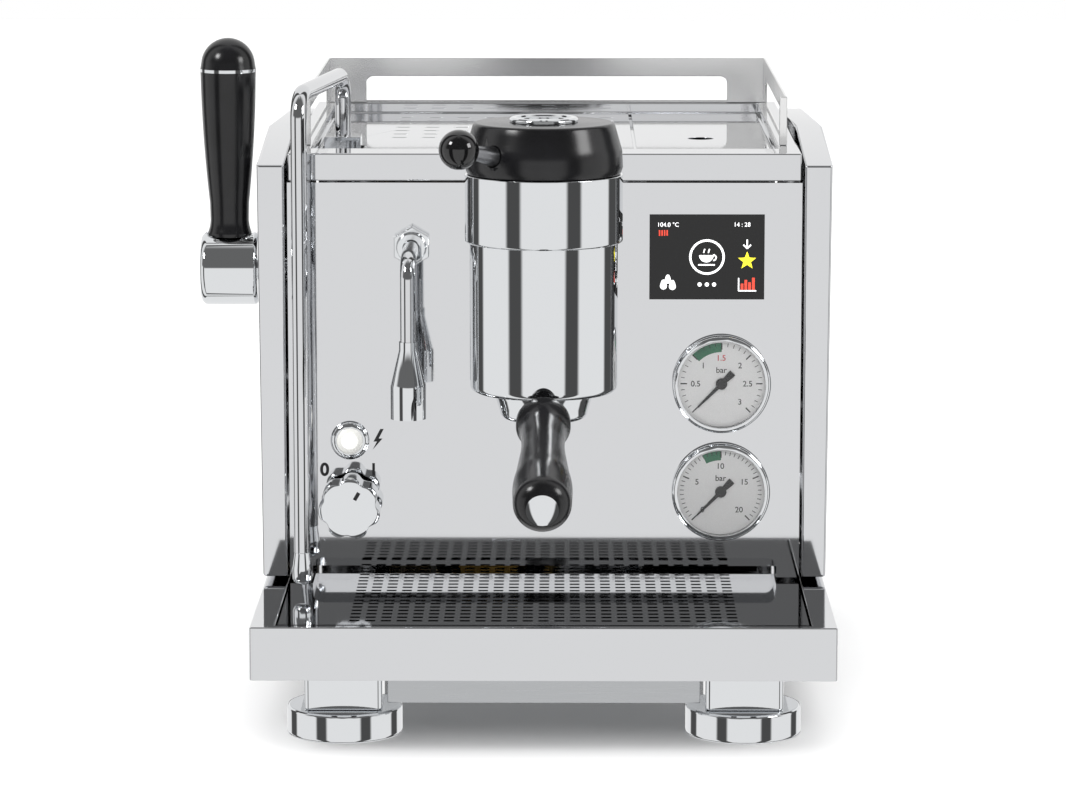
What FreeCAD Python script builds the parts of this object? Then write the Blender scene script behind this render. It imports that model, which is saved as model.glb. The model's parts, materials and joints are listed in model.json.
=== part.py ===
"""Pump espresso machine for the worktop, as a parametric assembly of its separate pieces.

Millimetres, +Z up. +X is to the right of someone who stands in front of the machine, and they look
along +Y. Every driving size is a cell of the spreadsheet "dims", and every sketch, feature and
placement is bound to those cells. Sub-parts are drawn in the casing's own frame (x from the middle
of the casing, y from the face of the front panel, z from the worktop). ORIGIN_X and ORIGIN_Y then
move them all, so that the assembly's origin is at the bottom centre of its bounding box.
"""
import FreeCAD, Part
import math
import os
from types import SimpleNamespace

import Sketcher
from FreeCAD import Rotation, Vector

DOC = FreeCAD.newDocument("espresso_machine")

# ---------------------------------------------------------------- driving sizes
DIMENSIONS = {
    # sheet steel and the front panel
    "sheet": 1.5,
    "panel_half": 163.5,
    "panel_bottom": 85.0,
    "panel_top": 339.8,
    "panel_return": 12.0,
    "notch_half": 149.0,
    "notch_top": 97.5,
    "notch_depth": 34.0,
    # outer side panels
    "case_half": 182.3,
    "case_taper": 2.1,
    "case_inner": 165.0,
    "case_wall": 3.6,
    "case_front": -5.0,
    "case_bottom": 86.0,
    "case_rear_bottom": 50.0,
    "case_step": 99.0,
    "case_front_top": 351.5,
    "case_peak": 365.0,
    "case_peak_back": 120.0,
    "case_back": 356.0,
    "case_back_top": 354.0,
    # top frame, cup tray, tank lid and cup rail
    "frame_half": 163.0,
    "frame_back": 358.0,
    "frame_bottom": 341.0,
    "frame_top": 358.5,
    "deck_half": 150.0,
    "deck_front": 31.0,
    "deck_back": 349.0,
    "deck_level": 351.3,
    "deck_split": 59.0,
    "deck_ledge": 5.0,
    "plate": 2.0,
    "cup_slot_width": 10.0,
    "cup_slot_height": 3.0,
    "cup_slot_left": -98.4,
    "cup_slot_front": 173.0,
    "cup_slot_pitch_across": 20.0,
    "cup_slot_pitch_back": 23.4,
    "finger_hole": 17.0,
    "finger_hole_across": 104.0,
    "finger_hole_back": 167.0,
    "rail_half": 156.0,
    "rail_front": 50.0,
    "rail_back": 354.5,
    "rail_top": 390.0,
    "rail_window_half": 128.5,
    "rail_window_top": 377.0,
    "rail_sill": 1.6,
    "rail_post": 5.0,
    # base pan, legs and feet
    "pan_half": 160.0,
    "pan_front": -84.0,
    "pan_back": 350.0,
    "pan_top": 49.0,
    "skirt_half": 98.0,
    "skirt_bottom": 21.5,
    "leg_across": 125.5,
    "leg_width": 49.0,
    "leg_depth": 44.0,
    "leg_front": -69.0,
    "leg_rear": 310.0,
    "foot_radius": 36.4,
    "foot_height": 18.0,
    # drip tray and grate
    "tray_half": 179.8,
    "tray_front": -145.1,
    "tray_back": 94.0,
    "tray_bottom": 49.3,
    "tray_top": 82.8,
    "tray_rim": 15.5,
    "grate_half": 162.8,
    "grate_front": -137.0,
    "grate_back": 60.0,
    "grate_thick": 1.5,
    "grate_lip": 9.0,
    "grate_slot_width": 6.2,
    "grate_slot_height": 4.2,
    "grate_slot_front": -125.0,
    "grate_pitch_across": 9.7,
    "grate_pitch_back": 10.2,
    # brew group, on the vertical axis group_y
    "group_y": -102.0,
    "group_bottom": 222.7,
    "group_radius": 45.4,
    "ring_radius": 48.4,
    "ring_bottom": 315.0,
    "cap_bottom": 357.0,
    "cap_top": 388.3,
    "cap_top_radius": 42.6,
    "badge_radius": 21.0,
    "ball_radius": 12.1,
    "ball_reach": 77.7,
    "ball_angle": 229.5,
    "ball_level": 377.3,
    "neck_radius": 30.0,
    "neck_level": 284.0,
    # portafilter
    "bowl_radius": 30.6,
    "bowl_bottom": 205.6,
    "basket_radius": 28.6,
    "lug_reach": 35.4,
    "grip_slope": 13.2,
    "grip_start": -156.0,
    "grip_level": 212.6,
    "grip_length": 134.0,
    "grip_collar": 16.5,
    "grip_waist": 12.9,
    "grip_end": 17.5,
    "end_cap_radius": 9.6,
    # gauges, screen, lamp and power knob
    "gauge_across": 113.0,
    "gauge_upper": 211.2,
    "gauge_lower": 141.2,
    "gauge_bezel": 31.5,
    "gauge_dial": 28.0,
    "gauge_proud": 7.0,
    "screen_across": 103.25,
    "screen_level": 292.5,
    "screen_width": 73.1,
    "screen_height": 54.5,
    "lamp_across": -124.5,
    "lamp_level": 174.2,
    "lamp_radius": 12.4,
    "knob_across": -123.6,
    "knob_level": 134.6,
    "knob_radius": 21.0,
    "knob_back": -7.0,
    "knob_front": -33.0,
    # hot water spout
    "spout_across": -84.3,
    "spout_level": 300.0,
    "spout_reach": -76.0,
    "spout_tube": 9.8,
    "nozzle_top": 249.0,
    "nozzle_bottom": 200.9,
    "nozzle_radius": 11.2,
    # steam wand
    "wand_across": -133.0,
    "wand_back": 108.0,
    "wand_arm_level": 399.5,
    "wand_arm_length": 154.3,
    "wand_turn": 7.45,
    "wand_tube": 10.4,
    "wand_bend": 16.0,
    "wand_tip_top": 110.0,
    "wand_tip_bottom": 91.0,
    "wand_tip_radius": 6.2,
    # steam lever on the left side
    "hub_back": 20.0,
    "hub_level": 282.5,
    "hub_radius": 23.2,
    "hub_outer": 219.4,
    "hub_inner": 183.3,
    "lever_across": 201.5,
    "lever_foot": 303.0,
    "lever_band": 409.6,
    "lever_top": 430.0,
    "lever_foot_radius": 12.2,
    "lever_top_radius": 17.6,
}
# A running clearance between a shaft and its hole, and the gap between pieces that only meet.
DIMENSIONS["running_gap"] = 0.05
DIMENSIONS["fit_gap"] = 0.3


class Size:
    """A number together with the spreadsheet formula that it comes from."""

    def __init__(self, value, formula):
        self.value = value
        self.formula = formula

    @staticmethod
    def of(item):
        if isinstance(item, Size):
            return item
        return Size(float(item), repr(float(item)))

    def join(self, other, sign, value):
        return Size(value, "(%s %s %s)" % (self.formula, sign, Size.of(other).formula))

    def __add__(self, other):
        return self.join(other, "+", self.value + Size.of(other).value)

    def __sub__(self, other):
        return self.join(other, "-", self.value - Size.of(other).value)

    def __mul__(self, other):
        return self.join(other, "*", self.value * Size.of(other).value)

    def __truediv__(self, other):
        return self.join(other, "/", self.value / Size.of(other).value)

    def __radd__(self, other):
        return Size.of(other) + self

    def __rsub__(self, other):
        return Size.of(other) - self

    def __rmul__(self, other):
        return Size.of(other) * self

    def __neg__(self):
        return Size.of(0) - self


def make_spreadsheet():
    """Write every driving size into its own named cell."""
    sheet = DOC.addObject("Spreadsheet::Sheet", "dims")
    for row, (name, value) in enumerate(DIMENSIONS.items(), start=1):
        sheet.set("A%d" % row, name)
        sheet.set("B%d" % row, str(value))
        sheet.setAlias("B%d" % row, name)


make_spreadsheet()
D = SimpleNamespace(**{name: Size(value, "dims." + name) for name, value in DIMENSIONS.items()})


def cosine(angle):
    return Size(math.cos(math.radians(angle.value)), "cos(%s)" % angle.formula)


def sine(angle):
    return Size(math.sin(math.radians(angle.value)), "sin(%s)" % angle.formula)


# How far the end cap's crown and the inlet's flange stand out, past the grip and the back panel.
END_CAP_CROWN = 2.43
SOCKET_PROUD = 2.0
GRIP_TIP = D.grip_start - D.grip_length * cosine(D.grip_slope) - END_CAP_CROWN
ORIGIN_X = (D.hub_outer - D.case_half) / 2
ORIGIN_Y = -(GRIP_TIP + D.frame_back + SOCKET_PROUD) / 2

# Turns that point a piece drawn round +Z along another direction.
UPRIGHT = Rotation()
TO_VIEWER = Rotation(Vector(1, 0, 0), 90)
TO_BACK = Rotation(Vector(1, 0, 0), -90)
TO_LEFT = Rotation(Vector(0, 1, 0), -90)

SUB_PARTS = []


# ---------------------------------------------------------------- sketch and feature helpers
def place(item, across=0, back=0, level=0, turn=UPRIGHT):
    """Give a sub-part its place in the assembly, bound to the driving sizes."""
    item.Placement = FreeCAD.Placement(Vector(), turn)
    item.setExpression("Placement.Base.x", (ORIGIN_X + across).formula)
    item.setExpression("Placement.Base.y", (ORIGIN_Y + back).formula)
    item.setExpression("Placement.Base.z", Size.of(level).formula)


def new_body(label, across=0, back=0, level=0, turn=UPRIGHT):
    """Start a PartDesign body that becomes the sub-part called label."""
    body = DOC.addObject("PartDesign::Body", label)
    body.Label = label
    place(body, across, back, level, turn)
    SUB_PARTS.append(body)
    return body


def new_sketch(body, plane):
    """Start a sketch on one of the body's own origin planes."""
    sketch = body.newObject("Sketcher::SketchObject", body.Name + "_sketch")
    support = [item for item in body.Origin.OriginFeatures if item.Role == plane][0]
    sketch.AttachmentSupport = [(support, "")]
    sketch.MapMode = "FlatFace"
    return sketch


def fix_point(sketch, curve, end, point):
    """Hold one end of a curve at a point whose two coordinates come from the spreadsheet."""
    for kind, size in (("DistanceX", point[0]), ("DistanceY", point[1])):
        size = Size.of(size)
        index = sketch.addConstraint(Sketcher.Constraint(kind, curve, end, size.value))
        sketch.setExpression("Constraints[%d]" % index, size.formula)


def arc_between(start, finish, radius):
    """The arc from start to finish: a positive radius turns left, a negative one turns right."""
    chord = finish - start
    half = chord.Length / 2
    height = math.sqrt(max(radius * radius - half * half, 0.0))
    side = Vector(-chord.y, chord.x, 0).normalize() * math.copysign(1.0, radius)
    centre = (start + finish) / 2 + side * height
    first, last = (start, finish) if radius > 0 else (finish, start)
    angles = [math.atan2(point.y - centre.y, point.x - centre.x) for point in (first, last)]
    return Part.ArcOfCircle(Part.Circle(centre, Vector(0, 0, 1), abs(radius)), *angles)


def add_path(sketch, points, closed=True):
    """Draw straight runs and arcs through the points. A third number on a point is the radius of
    the arc that reaches it."""
    flat = [Vector(Size.of(point[0]).value, Size.of(point[1]).value, 0) for point in points]
    count = len(points) if closed else len(points) - 1
    ends = []
    for index in range(count):
        target = (index + 1) % len(points)
        if len(points[target]) == 3:
            radius = Size.of(points[target][2])
            curve = sketch.addGeometry(arc_between(flat[index], flat[target], radius.value), False)
            ends.append((curve, 1, 2) if radius.value > 0 else (curve, 2, 1))
            mark = sketch.addConstraint(Sketcher.Constraint("Radius", curve, abs(radius.value)))
            text = radius.formula if radius.value > 0 else (-radius).formula
            sketch.setExpression("Constraints[%d]" % mark, text)
        else:
            curve = sketch.addGeometry(Part.LineSegment(flat[index], flat[target]), False)
            ends.append((curve, 1, 2))
    for index, (curve, first, last) in enumerate(ends):
        fix_point(sketch, curve, first, points[index])
        if closed or index + 1 < len(ends):
            after, after_first, _ = ends[(index + 1) % len(ends)]
            sketch.addConstraint(Sketcher.Constraint("Coincident", curve, last, after, after_first))
        else:
            fix_point(sketch, curve, last, points[-1])


def add_circle(sketch, across, up, radius):
    radius = Size.of(radius)
    centre = Vector(Size.of(across).value, Size.of(up).value, 0)
    curve = sketch.addGeometry(Part.Circle(centre, Vector(0, 0, 1), radius.value), False)
    fix_point(sketch, curve, 3, (across, up))
    index = sketch.addConstraint(Sketcher.Constraint("Radius", curve, radius.value))
    sketch.setExpression("Constraints[%d]" % index, radius.formula)


def box_points(left, bottom, right, top):
    return [(left, bottom), (right, bottom), (right, top), (left, top)]


def dome(radius, rise):
    """Radius of the sphere whose cap has this radius and this rise, so that its centre is on the
    axis that the cap is turned round."""
    return (radius * radius + rise * rise) / (2 * rise)


def slot_points(across, up, width, height):
    """A slot with full round ends, each made of two quarter circles, centred on a point."""
    half = height / 2
    reach = width / 2 - half
    return [
        (across - reach, up - half, half), (across + reach, up - half),
        (across + reach + half, up, half), (across + reach, up + half, half),
        (across - reach, up + half), (across - reach - half, up, half),
    ]


def pad(sketch, length, reverse=False):
    """Grow a sketch into a solid, along the sketch's normal unless reversed."""
    body = sketch.getParentGeoFeatureGroup()
    feature = body.newObject("PartDesign::Pad", body.Name + "_pad")
    feature.Profile = sketch
    feature.setExpression("Length", Size.of(length).formula)
    feature.Reversed = reverse
    return feature


def pocket(sketch, length, reverse=False):
    """Cut a sketch out of the body, against the sketch's normal unless reversed."""
    body = sketch.getParentGeoFeatureGroup()
    DOC.recompute()
    before = body.Shape.Volume
    feature = body.newObject("PartDesign::Pocket", body.Name + "_pocket")
    feature.Profile = sketch
    feature.setExpression("Length", Size.of(length).formula)
    feature.Reversed = reverse
    DOC.recompute()
    if body.Shape.Volume >= before:
        raise RuntimeError("a pocket of %s cuts nothing" % body.Label)
    return feature


def repeat(cut, sketch, columns, column_pitch, rows, row_pitch):
    """Repeat a cut in columns and rows along its sketch's two axes."""
    body = sketch.getParentGeoFeatureGroup()
    grid = body.newObject("PartDesign::MultiTransform", body.Name + "_grid")
    grid.Originals = [cut]
    steps = []
    for axis, count, pitch in (("H_Axis", columns, column_pitch), ("V_Axis", rows, row_pitch)):
        step = body.newObject("PartDesign::LinearPattern", body.Name + "_" + axis)
        step.Direction = (sketch, [axis])
        step.Occurrences = count
        step.setExpression("Length", (Size.of(pitch) * (count - 1)).formula)
        steps.append(step)
    grid.Transformations = steps
    body.Tip = grid


def turned(body, points):
    """Turn a half profile (radius, height) round the body's Z axis."""
    sketch = new_sketch(body, "XZ_Plane")
    add_path(sketch, points)
    feature = body.newObject("PartDesign::Revolution", body.Name + "_turned")
    feature.Profile = sketch
    feature.ReferenceAxis = (sketch, ["V_Axis"])
    feature.Angle = 360
    return feature


def bent_tube(body, plane, runs, section_plane, outer, wall):
    """Carry a ring-shaped section along a path of runs and arcs that starts at the origin."""
    path = new_sketch(body, plane)
    add_path(path, runs, closed=False)
    section = new_sketch(body, section_plane)
    add_circle(section, 0, 0, outer / 2)
    add_circle(section, 0, 0, outer / 2 - wall)
    feature = body.newObject("PartDesign::AdditivePipe", body.Name + "_pipe")
    feature.Profile = section
    feature.Spine = (path, ["Edge%d" % (index + 1) for index in range(len(runs) - 1)])
    return feature


def chamfer(body, feature, size, chosen):
    """Break the edges of a feature for which chosen(edge) is true."""
    DOC.recompute()
    names = ["Edge%d" % (index + 1) for index, edge in enumerate(feature.Shape.Edges) if chosen(edge)]
    item = body.newObject("PartDesign::Chamfer", body.Name + "_chamfer")
    item.Base = (feature, names)
    item.setExpression("Size", Size.of(size).formula)
    return item


def is_level_circle(edge):
    return edge.Closed and edge.BoundBox.ZLength < 0.001


def drawn_box(label, left, front, right, back, bottom, height):
    """A plain block, from a rectangle on the XY plane."""
    body = new_body(label, level=bottom)
    sketch = new_sketch(body, "XY_Plane")
    add_path(sketch, box_points(left, front, right, back))
    pad(sketch, height)
    return body


# ---------------------------------------------------------------- casing
def make_base_pan():
    """Folded floor of the machine, with a front and a rear skirt."""
    body = new_body("base_pan")
    floor = new_sketch(body, "XY_Plane")
    floor.setExpression("AttachmentOffset.Base.z", (D.pan_top - D.sheet).formula)
    add_path(floor, box_points(-D.pan_half, D.pan_front, D.pan_half, D.pan_back))
    pad(floor, D.sheet)
    for line, outward in ((D.pan_front, False), (D.pan_back, True)):
        skirt = new_sketch(body, "XZ_Plane")
        skirt.setExpression("AttachmentOffset.Base.z", (-line).formula)
        add_path(skirt, box_points(-D.skirt_half, D.skirt_bottom, D.skirt_half, D.pan_top))
        pad(skirt, D.sheet, reverse=not outward)


def make_legs_and_feet():
    """Four rectangular legs, each on a round foot."""
    legs = new_body("legs", level=D.foot_height)
    plan = new_sketch(legs, "XY_Plane")
    feet = new_body("feet")
    rounds = new_sketch(feet, "XY_Plane")
    for side in (-1, 1):
        for line in (D.leg_front, D.leg_rear):
            middle = D.leg_across * side
            add_path(plan, box_points(middle - D.leg_width / 2, line - D.leg_depth / 2,
                                      middle + D.leg_width / 2, line + D.leg_depth / 2))
            add_circle(rounds, middle, line, D.foot_radius)
    block = pad(plan, D.pan_top - D.sheet - D.foot_height)
    chamfer(legs, block, 2.5, lambda edge: edge.BoundBox.ZLength > 1)
    disc = pad(rounds, D.foot_height)
    chamfer(feet, disc, 1.0, is_level_circle)


def make_front_panel():
    """Polished front sheet with its folded sides, its instrument holes and the tray notch."""
    body = new_body("front_panel")
    face = new_sketch(body, "XZ_Plane")
    corner = 6
    add_path(face, [
        (-D.panel_half, D.panel_bottom), (-D.notch_half, D.panel_bottom),
        (-D.notch_half, D.notch_top - corner), (corner - D.notch_half, D.notch_top, -Size.of(corner)),
        (D.notch_half - corner, D.notch_top), (D.notch_half, D.notch_top - corner, -Size.of(corner)),
        (D.notch_half, D.panel_bottom), (D.panel_half, D.panel_bottom),
        (D.panel_half, D.panel_top), (-D.panel_half, D.panel_top),
    ])
    for level in (D.gauge_upper, D.gauge_lower):
        add_circle(face, D.gauge_across, level, D.gauge_dial + 0.8)
    add_circle(face, D.lamp_across, D.lamp_level, D.lamp_radius - 2)
    add_circle(face, D.knob_across, D.knob_level, 5)
    add_circle(face, D.spout_across, D.spout_level, 6.3)
    add_circle(face, 0, D.neck_level, D.neck_radius + D.fit_gap)
    screen_half = D.screen_width / 2
    add_path(face, box_points(D.screen_across - screen_half, D.screen_level - D.screen_height / 2,
                              D.screen_across + screen_half, D.screen_level + D.screen_height / 2))
    pad(face, D.sheet, reverse=True)
    folds = new_sketch(body, "XZ_Plane")
    for inner, outer in ((-D.panel_half, D.sheet - D.panel_half), (D.panel_half - D.sheet, D.panel_half)):
        add_path(folds, box_points(inner, D.panel_bottom, outer, D.panel_top))
    pad(folds, D.panel_return, reverse=True)
    hood = new_sketch(body, "XZ_Plane")
    foot = D.panel_bottom + 0.5
    shoulder = D.notch_top - corner
    add_path(hood, [
        (-D.notch_half - D.sheet, foot), (-D.notch_half, foot), (-D.notch_half, shoulder),
        (corner - D.notch_half, D.notch_top, -Size.of(corner)), (D.notch_half - corner, D.notch_top),
        (D.notch_half, shoulder, -Size.of(corner)), (D.notch_half, foot),
        (D.notch_half + D.sheet, foot), (D.notch_half + D.sheet, shoulder),
        (D.notch_half - corner, D.notch_top + D.sheet, D.sheet + corner),
        (corner - D.notch_half, D.notch_top + D.sheet),
        (-D.notch_half - D.sheet, shoulder, D.sheet + corner),
    ])
    pad(hood, D.notch_depth, reverse=True)
    wall = new_sketch(body, "YZ_Plane")
    wall.setExpression("AttachmentOffset.Base.z", (-D.notch_half - D.sheet).formula)
    lean = 1.6
    add_path(wall, [
        (D.notch_depth - D.sheet, D.notch_top + D.sheet), (D.notch_depth - D.sheet + lean, foot),
        (D.notch_depth + lean, foot), (D.notch_depth, D.notch_top + D.sheet),
    ])
    pad(wall, (D.notch_half + D.sheet) * 2)


def make_side_panel(label, side):
    """Outer cover: a pressed sheet that is open towards the casing and a little tapered."""
    inner = D.case_inner * side
    body = new_body(label, across=inner)
    outward = D.case_half - D.case_inner
    outline = new_sketch(body, "YZ_Plane")
    add_path(outline, [
        (D.case_front, D.case_bottom), (D.case_step, D.case_bottom), (D.case_step, D.case_rear_bottom),
        (D.case_back, D.case_rear_bottom), (D.case_back, D.case_back_top),
        (D.case_peak_back, D.case_peak), (D.case_front, D.case_front_top),
    ])
    pad(outline, outward, reverse=side < 0)
    hollow = new_sketch(body, "YZ_Plane")
    skin = D.sheet
    add_path(hollow, [
        (D.case_front + skin, D.case_bottom + skin), (D.case_step + skin, D.case_bottom + skin),
        (D.case_step + skin, D.case_rear_bottom + skin), (D.case_back - skin, D.case_rear_bottom + skin),
        (D.case_back - skin, D.case_back_top - skin), (D.case_peak_back, D.case_peak - skin),
        (D.case_front + skin, D.case_front_top - skin),
    ])
    pocket(hollow, outward - D.case_wall, reverse=side > 0)
    taper = new_sketch(body, "XZ_Plane")
    edge = outward * side
    margin = side * 2
    add_path(taper, [
        (edge, D.case_front_top), (edge - D.case_taper * side, D.case_rear_bottom - 1),
        (edge + margin, D.case_rear_bottom - 1), (edge + margin, D.case_front_top),
    ])
    taper.setExpression("AttachmentOffset.Base.z", "20")
    pocket(taper, D.case_back + 40, reverse=False)
    if side < 0:
        shaft = new_sketch(body, "YZ_Plane")
        add_circle(shaft, D.hub_back, D.hub_level, SHAFT_RADIUS + 1)
        pocket(shaft, outward + 5)


def make_back_panel():
    """Rear sheet with rows of cooling slots and the opening for the power inlet."""
    body = new_body("back_panel", back=D.frame_back - D.sheet)
    face = new_sketch(body, "XZ_Plane")
    add_path(face, box_points(-D.panel_half, D.pan_top + 1, D.panel_half, D.frame_bottom - 1))
    add_path(face, box_points(INLET_ACROSS - INLET_HALF_WIDTH, INLET_LEVEL - INLET_HALF_HEIGHT,
                              INLET_ACROSS + INLET_HALF_WIDTH, INLET_LEVEL + INLET_HALF_HEIGHT))
    pad(face, D.sheet, reverse=True)
    slot = new_sketch(body, "XZ_Plane")
    add_path(slot, slot_points(Size.of(-90), Size.of(180), Size.of(64), Size.of(5)))
    repeat(pocket(slot, D.sheet + 1), slot, 3, 90, 8, 14)


def make_top_frame():
    """Folded top of the casing: front band, skirt, rim round the recessed deck and its ledge."""
    body = new_body("top_frame", level=D.frame_bottom)
    height = D.frame_top - D.frame_bottom
    plan = new_sketch(body, "XY_Plane")
    add_path(plan, box_points(-D.frame_half, 0, D.frame_half, D.frame_back))
    pad(plan, height)
    skin = D.sheet
    inside = new_sketch(body, "XY_Plane")
    add_path(inside, box_points(skin - D.frame_half, skin, D.frame_half - skin, D.frame_back - skin))
    pocket(inside, height - skin, reverse=True)
    rim = new_sketch(body, "XY_Plane")
    add_path(rim, box_points(-D.deck_half, D.deck_front, D.deck_half, D.deck_back))
    pocket(rim, height + 1, reverse=True)
    drop = D.deck_level - D.plate - D.frame_bottom
    ledge_parts = (
        (skin, 0, drop - skin, height),
        (skin, D.deck_ledge, drop - skin, drop),
    )
    for outside, inside_by, bottom, top in ledge_parts:
        ring = new_sketch(body, "XY_Plane")
        ring.setExpression("AttachmentOffset.Base.z", bottom.formula)
        add_path(ring, box_points(-D.deck_half - outside, D.deck_front - outside,
                                  D.deck_half + outside, D.deck_back + outside))
        add_path(ring, box_points(inside_by - D.deck_half, D.deck_front + inside_by,
                                  D.deck_half - inside_by, D.deck_back - inside_by))
        pad(ring, top - bottom)
    bar = new_sketch(body, "XY_Plane")
    bar.setExpression("AttachmentOffset.Base.z", (drop - skin).formula)
    add_path(bar, box_points(D.deck_split - 5, D.deck_front, D.deck_split + 5, D.deck_back))
    pad(bar, skin)


def make_cup_tray():
    """Slotted plate that cups stand on, over the left part of the deck."""
    body = new_body("cup_tray", level=D.deck_level - D.plate)
    plan = new_sketch(body, "XY_Plane")
    gap = D.fit_gap
    add_path(plan, box_points(gap - D.deck_half, D.deck_front + gap,
                              D.deck_split - 1, D.deck_back - gap))
    hole = 13.5
    add_path(plan, box_points(D.wand_across - hole, D.wand_back - hole,
                              D.wand_across + hole, D.wand_back + hole))
    pad(plan, D.plate)
    slot = new_sketch(body, "XY_Plane")
    add_path(slot, slot_points(D.cup_slot_left, D.cup_slot_front, D.cup_slot_width, D.cup_slot_height))
    cut = pocket(slot, D.plate + 1, reverse=True)
    repeat(cut, slot, 8, D.cup_slot_pitch_across, 7, D.cup_slot_pitch_back)


def make_tank_lid():
    """Plate over the water tank, lifted off by its finger hole."""
    body = new_body("tank_lid", level=D.deck_level - D.plate + D.running_gap)
    plan = new_sketch(body, "XY_Plane")
    gap = D.fit_gap
    add_path(plan, box_points(D.deck_split + 1, D.deck_front + gap,
                              D.deck_half - gap, D.deck_back - gap))
    add_circle(plan, D.finger_hole_across, D.finger_hole_back, D.finger_hole / 2)
    pad(plan, D.plate)


def make_cup_rail():
    """Bent fence on three sides of the top, with a long window in each side."""
    body = new_body("cup_rail", level=D.frame_top)
    plan = new_sketch(body, "XY_Plane")
    skin = D.sheet
    inner = D.rail_half - skin
    post = D.rail_half - D.rail_post
    add_path(plan, [
        (-D.rail_half, D.rail_front), (-post, D.rail_front), (-post, D.rail_front + skin),
        (-inner, D.rail_front + skin), (-inner, D.rail_back - skin), (inner, D.rail_back - skin),
        (inner, D.rail_front + skin), (post, D.rail_front + skin), (post, D.rail_front),
        (D.rail_half, D.rail_front), (D.rail_half, D.rail_back), (-D.rail_half, D.rail_back),
    ])
    pad(plan, D.rail_top - D.frame_top)
    top = D.rail_window_top - D.frame_top
    corner = Size.of(5)
    back = new_sketch(body, "XZ_Plane")
    add_path(back, window_points(-D.rail_window_half, D.rail_window_half, D.rail_sill, top, corner))
    back.setExpression("AttachmentOffset.Base.z", (-D.rail_back - 5).formula)
    pocket(back, Size.of(20), reverse=True)
    sides = new_sketch(body, "YZ_Plane")
    add_path(sides, window_points(D.rail_front + 22, D.rail_back - 26, D.rail_sill, top, corner))
    sides.setExpression("AttachmentOffset.Base.z", (-D.rail_half - 5).formula)
    pocket(sides, D.rail_half * 2 + 10, reverse=True)


def window_points(left, right, bottom, top, corner):
    """A window with square lower corners and round upper ones."""
    return [(left, bottom), (right, bottom), (right, top - corner), (right - corner, top, corner),
            (left + corner, top), (left, top - corner, corner)]


# ---------------------------------------------------------------- drip tray
def make_drip_tray():
    """Pull-out tray: a polished box with inward rims at its two sides."""
    body = new_body("drip_tray", level=D.tray_bottom)
    height = D.tray_top - D.tray_bottom
    plan = new_sketch(body, "XY_Plane")
    add_path(plan, box_points(-D.tray_half, D.tray_front, D.tray_half, D.tray_back))
    pad(plan, height)
    skin = D.sheet
    well = new_sketch(body, "XY_Plane")
    well.setExpression("AttachmentOffset.Base.z", skin.formula)
    add_path(well, box_points(skin - D.tray_half, D.tray_front + skin,
                              D.tray_half - skin, D.tray_back - skin))
    pocket(well, height - skin * 2, reverse=True)
    mouth = new_sketch(body, "XY_Plane")
    mouth.setExpression("AttachmentOffset.Base.z", height.formula)
    inner = D.tray_half - D.tray_rim
    add_path(mouth, box_points(-inner, D.tray_front + 6, inner, D.tray_back - 6))
    pocket(mouth, skin + 1)


def make_drip_grate():
    """Perforated plate in the tray's mouth, with its two long sides folded down."""
    body = new_body("drip_grate", level=D.tray_top - D.grate_lip)
    lips = new_sketch(body, "XY_Plane")
    skin = D.grate_thick
    for left, right in ((-D.grate_half, skin - D.grate_half), (D.grate_half - skin, D.grate_half)):
        add_path(lips, box_points(left, D.grate_front, right, D.grate_back))
    pad(lips, D.grate_lip)
    plate = new_sketch(body, "XY_Plane")
    plate.setExpression("AttachmentOffset.Base.z", (D.grate_lip - skin).formula)
    add_path(plate, box_points(-D.grate_half, D.grate_front, D.grate_half, D.grate_back))
    pad(plate, skin)
    slot = new_sketch(body, "XY_Plane")
    width = D.grate_slot_width / 2
    height = D.grate_slot_height / 2
    columns = 25
    left = D.grate_pitch_across * (1 - columns) / 2
    add_path(slot, box_points(left - width, D.grate_slot_front - height,
                              left + width, D.grate_slot_front + height))
    cut = pocket(slot, D.grate_lip + 1, reverse=True)
    repeat(cut, slot, columns, D.grate_pitch_across, 17, D.grate_pitch_back)


# ---------------------------------------------------------------- brew group
LUG_LEVEL = 3.0
LUG_HEIGHT = 5.0
SCREEN_RADIUS = 27.6
CAVITY_TOP = 34.0
CHAMBER_RADIUS = 38.0
SHAFT_RADIUS = 7.0


def make_group_neck():
    """Horizontal neck that carries the group on the boiler, through the front panel."""
    body = new_body("group_neck", back=58, level=D.neck_level, turn=TO_VIEWER)
    reach = 58 - D.group_y - D.group_radius + 6
    turned(body, [(9, 0), (D.neck_radius, 0), (D.neck_radius, reach), (9, reach)])
    scoop = new_sketch(body, "XZ_Plane")
    scoop.setExpression("AttachmentOffset.Base.z", "-60")
    add_circle(scoop, 0, 58 - D.group_y, D.group_radius + D.running_gap)
    pocket(scoop, Size.of(120), reverse=True)


def make_group_body():
    """Turned lower body of the group, with the cavity and bayonet lip for the portafilter."""
    body = new_body("group_body", back=D.group_y, level=D.group_bottom)
    height = D.ring_bottom - D.group_bottom
    edge = 4
    mouth = D.bowl_radius + 0.6
    turned(body, [
        (mouth, 0), (D.group_radius - edge, 0), (D.group_radius, edge, edge),
        (D.group_radius, height), (CHAMBER_RADIUS, height), (CHAMBER_RADIUS, CAVITY_TOP + 10),
        (0, CAVITY_TOP + 10), (0, CAVITY_TOP),
        (D.lug_reach + 1.2, CAVITY_TOP), (D.lug_reach + 1.2, LUG_LEVEL - 0.4),
        (mouth, LUG_LEVEL - 0.4),
    ])
    gates = new_sketch(body, "XY_Plane")
    for turn in (-LOCK_TURN, 180 - LOCK_TURN):
        add_path(gates, sector_points(D.bowl_radius - 3, D.lug_reach + 1.1, turn, 22))
    pocket(gates, Size.of(LUG_LEVEL), reverse=True)


LOCK_TURN = 50


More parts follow.
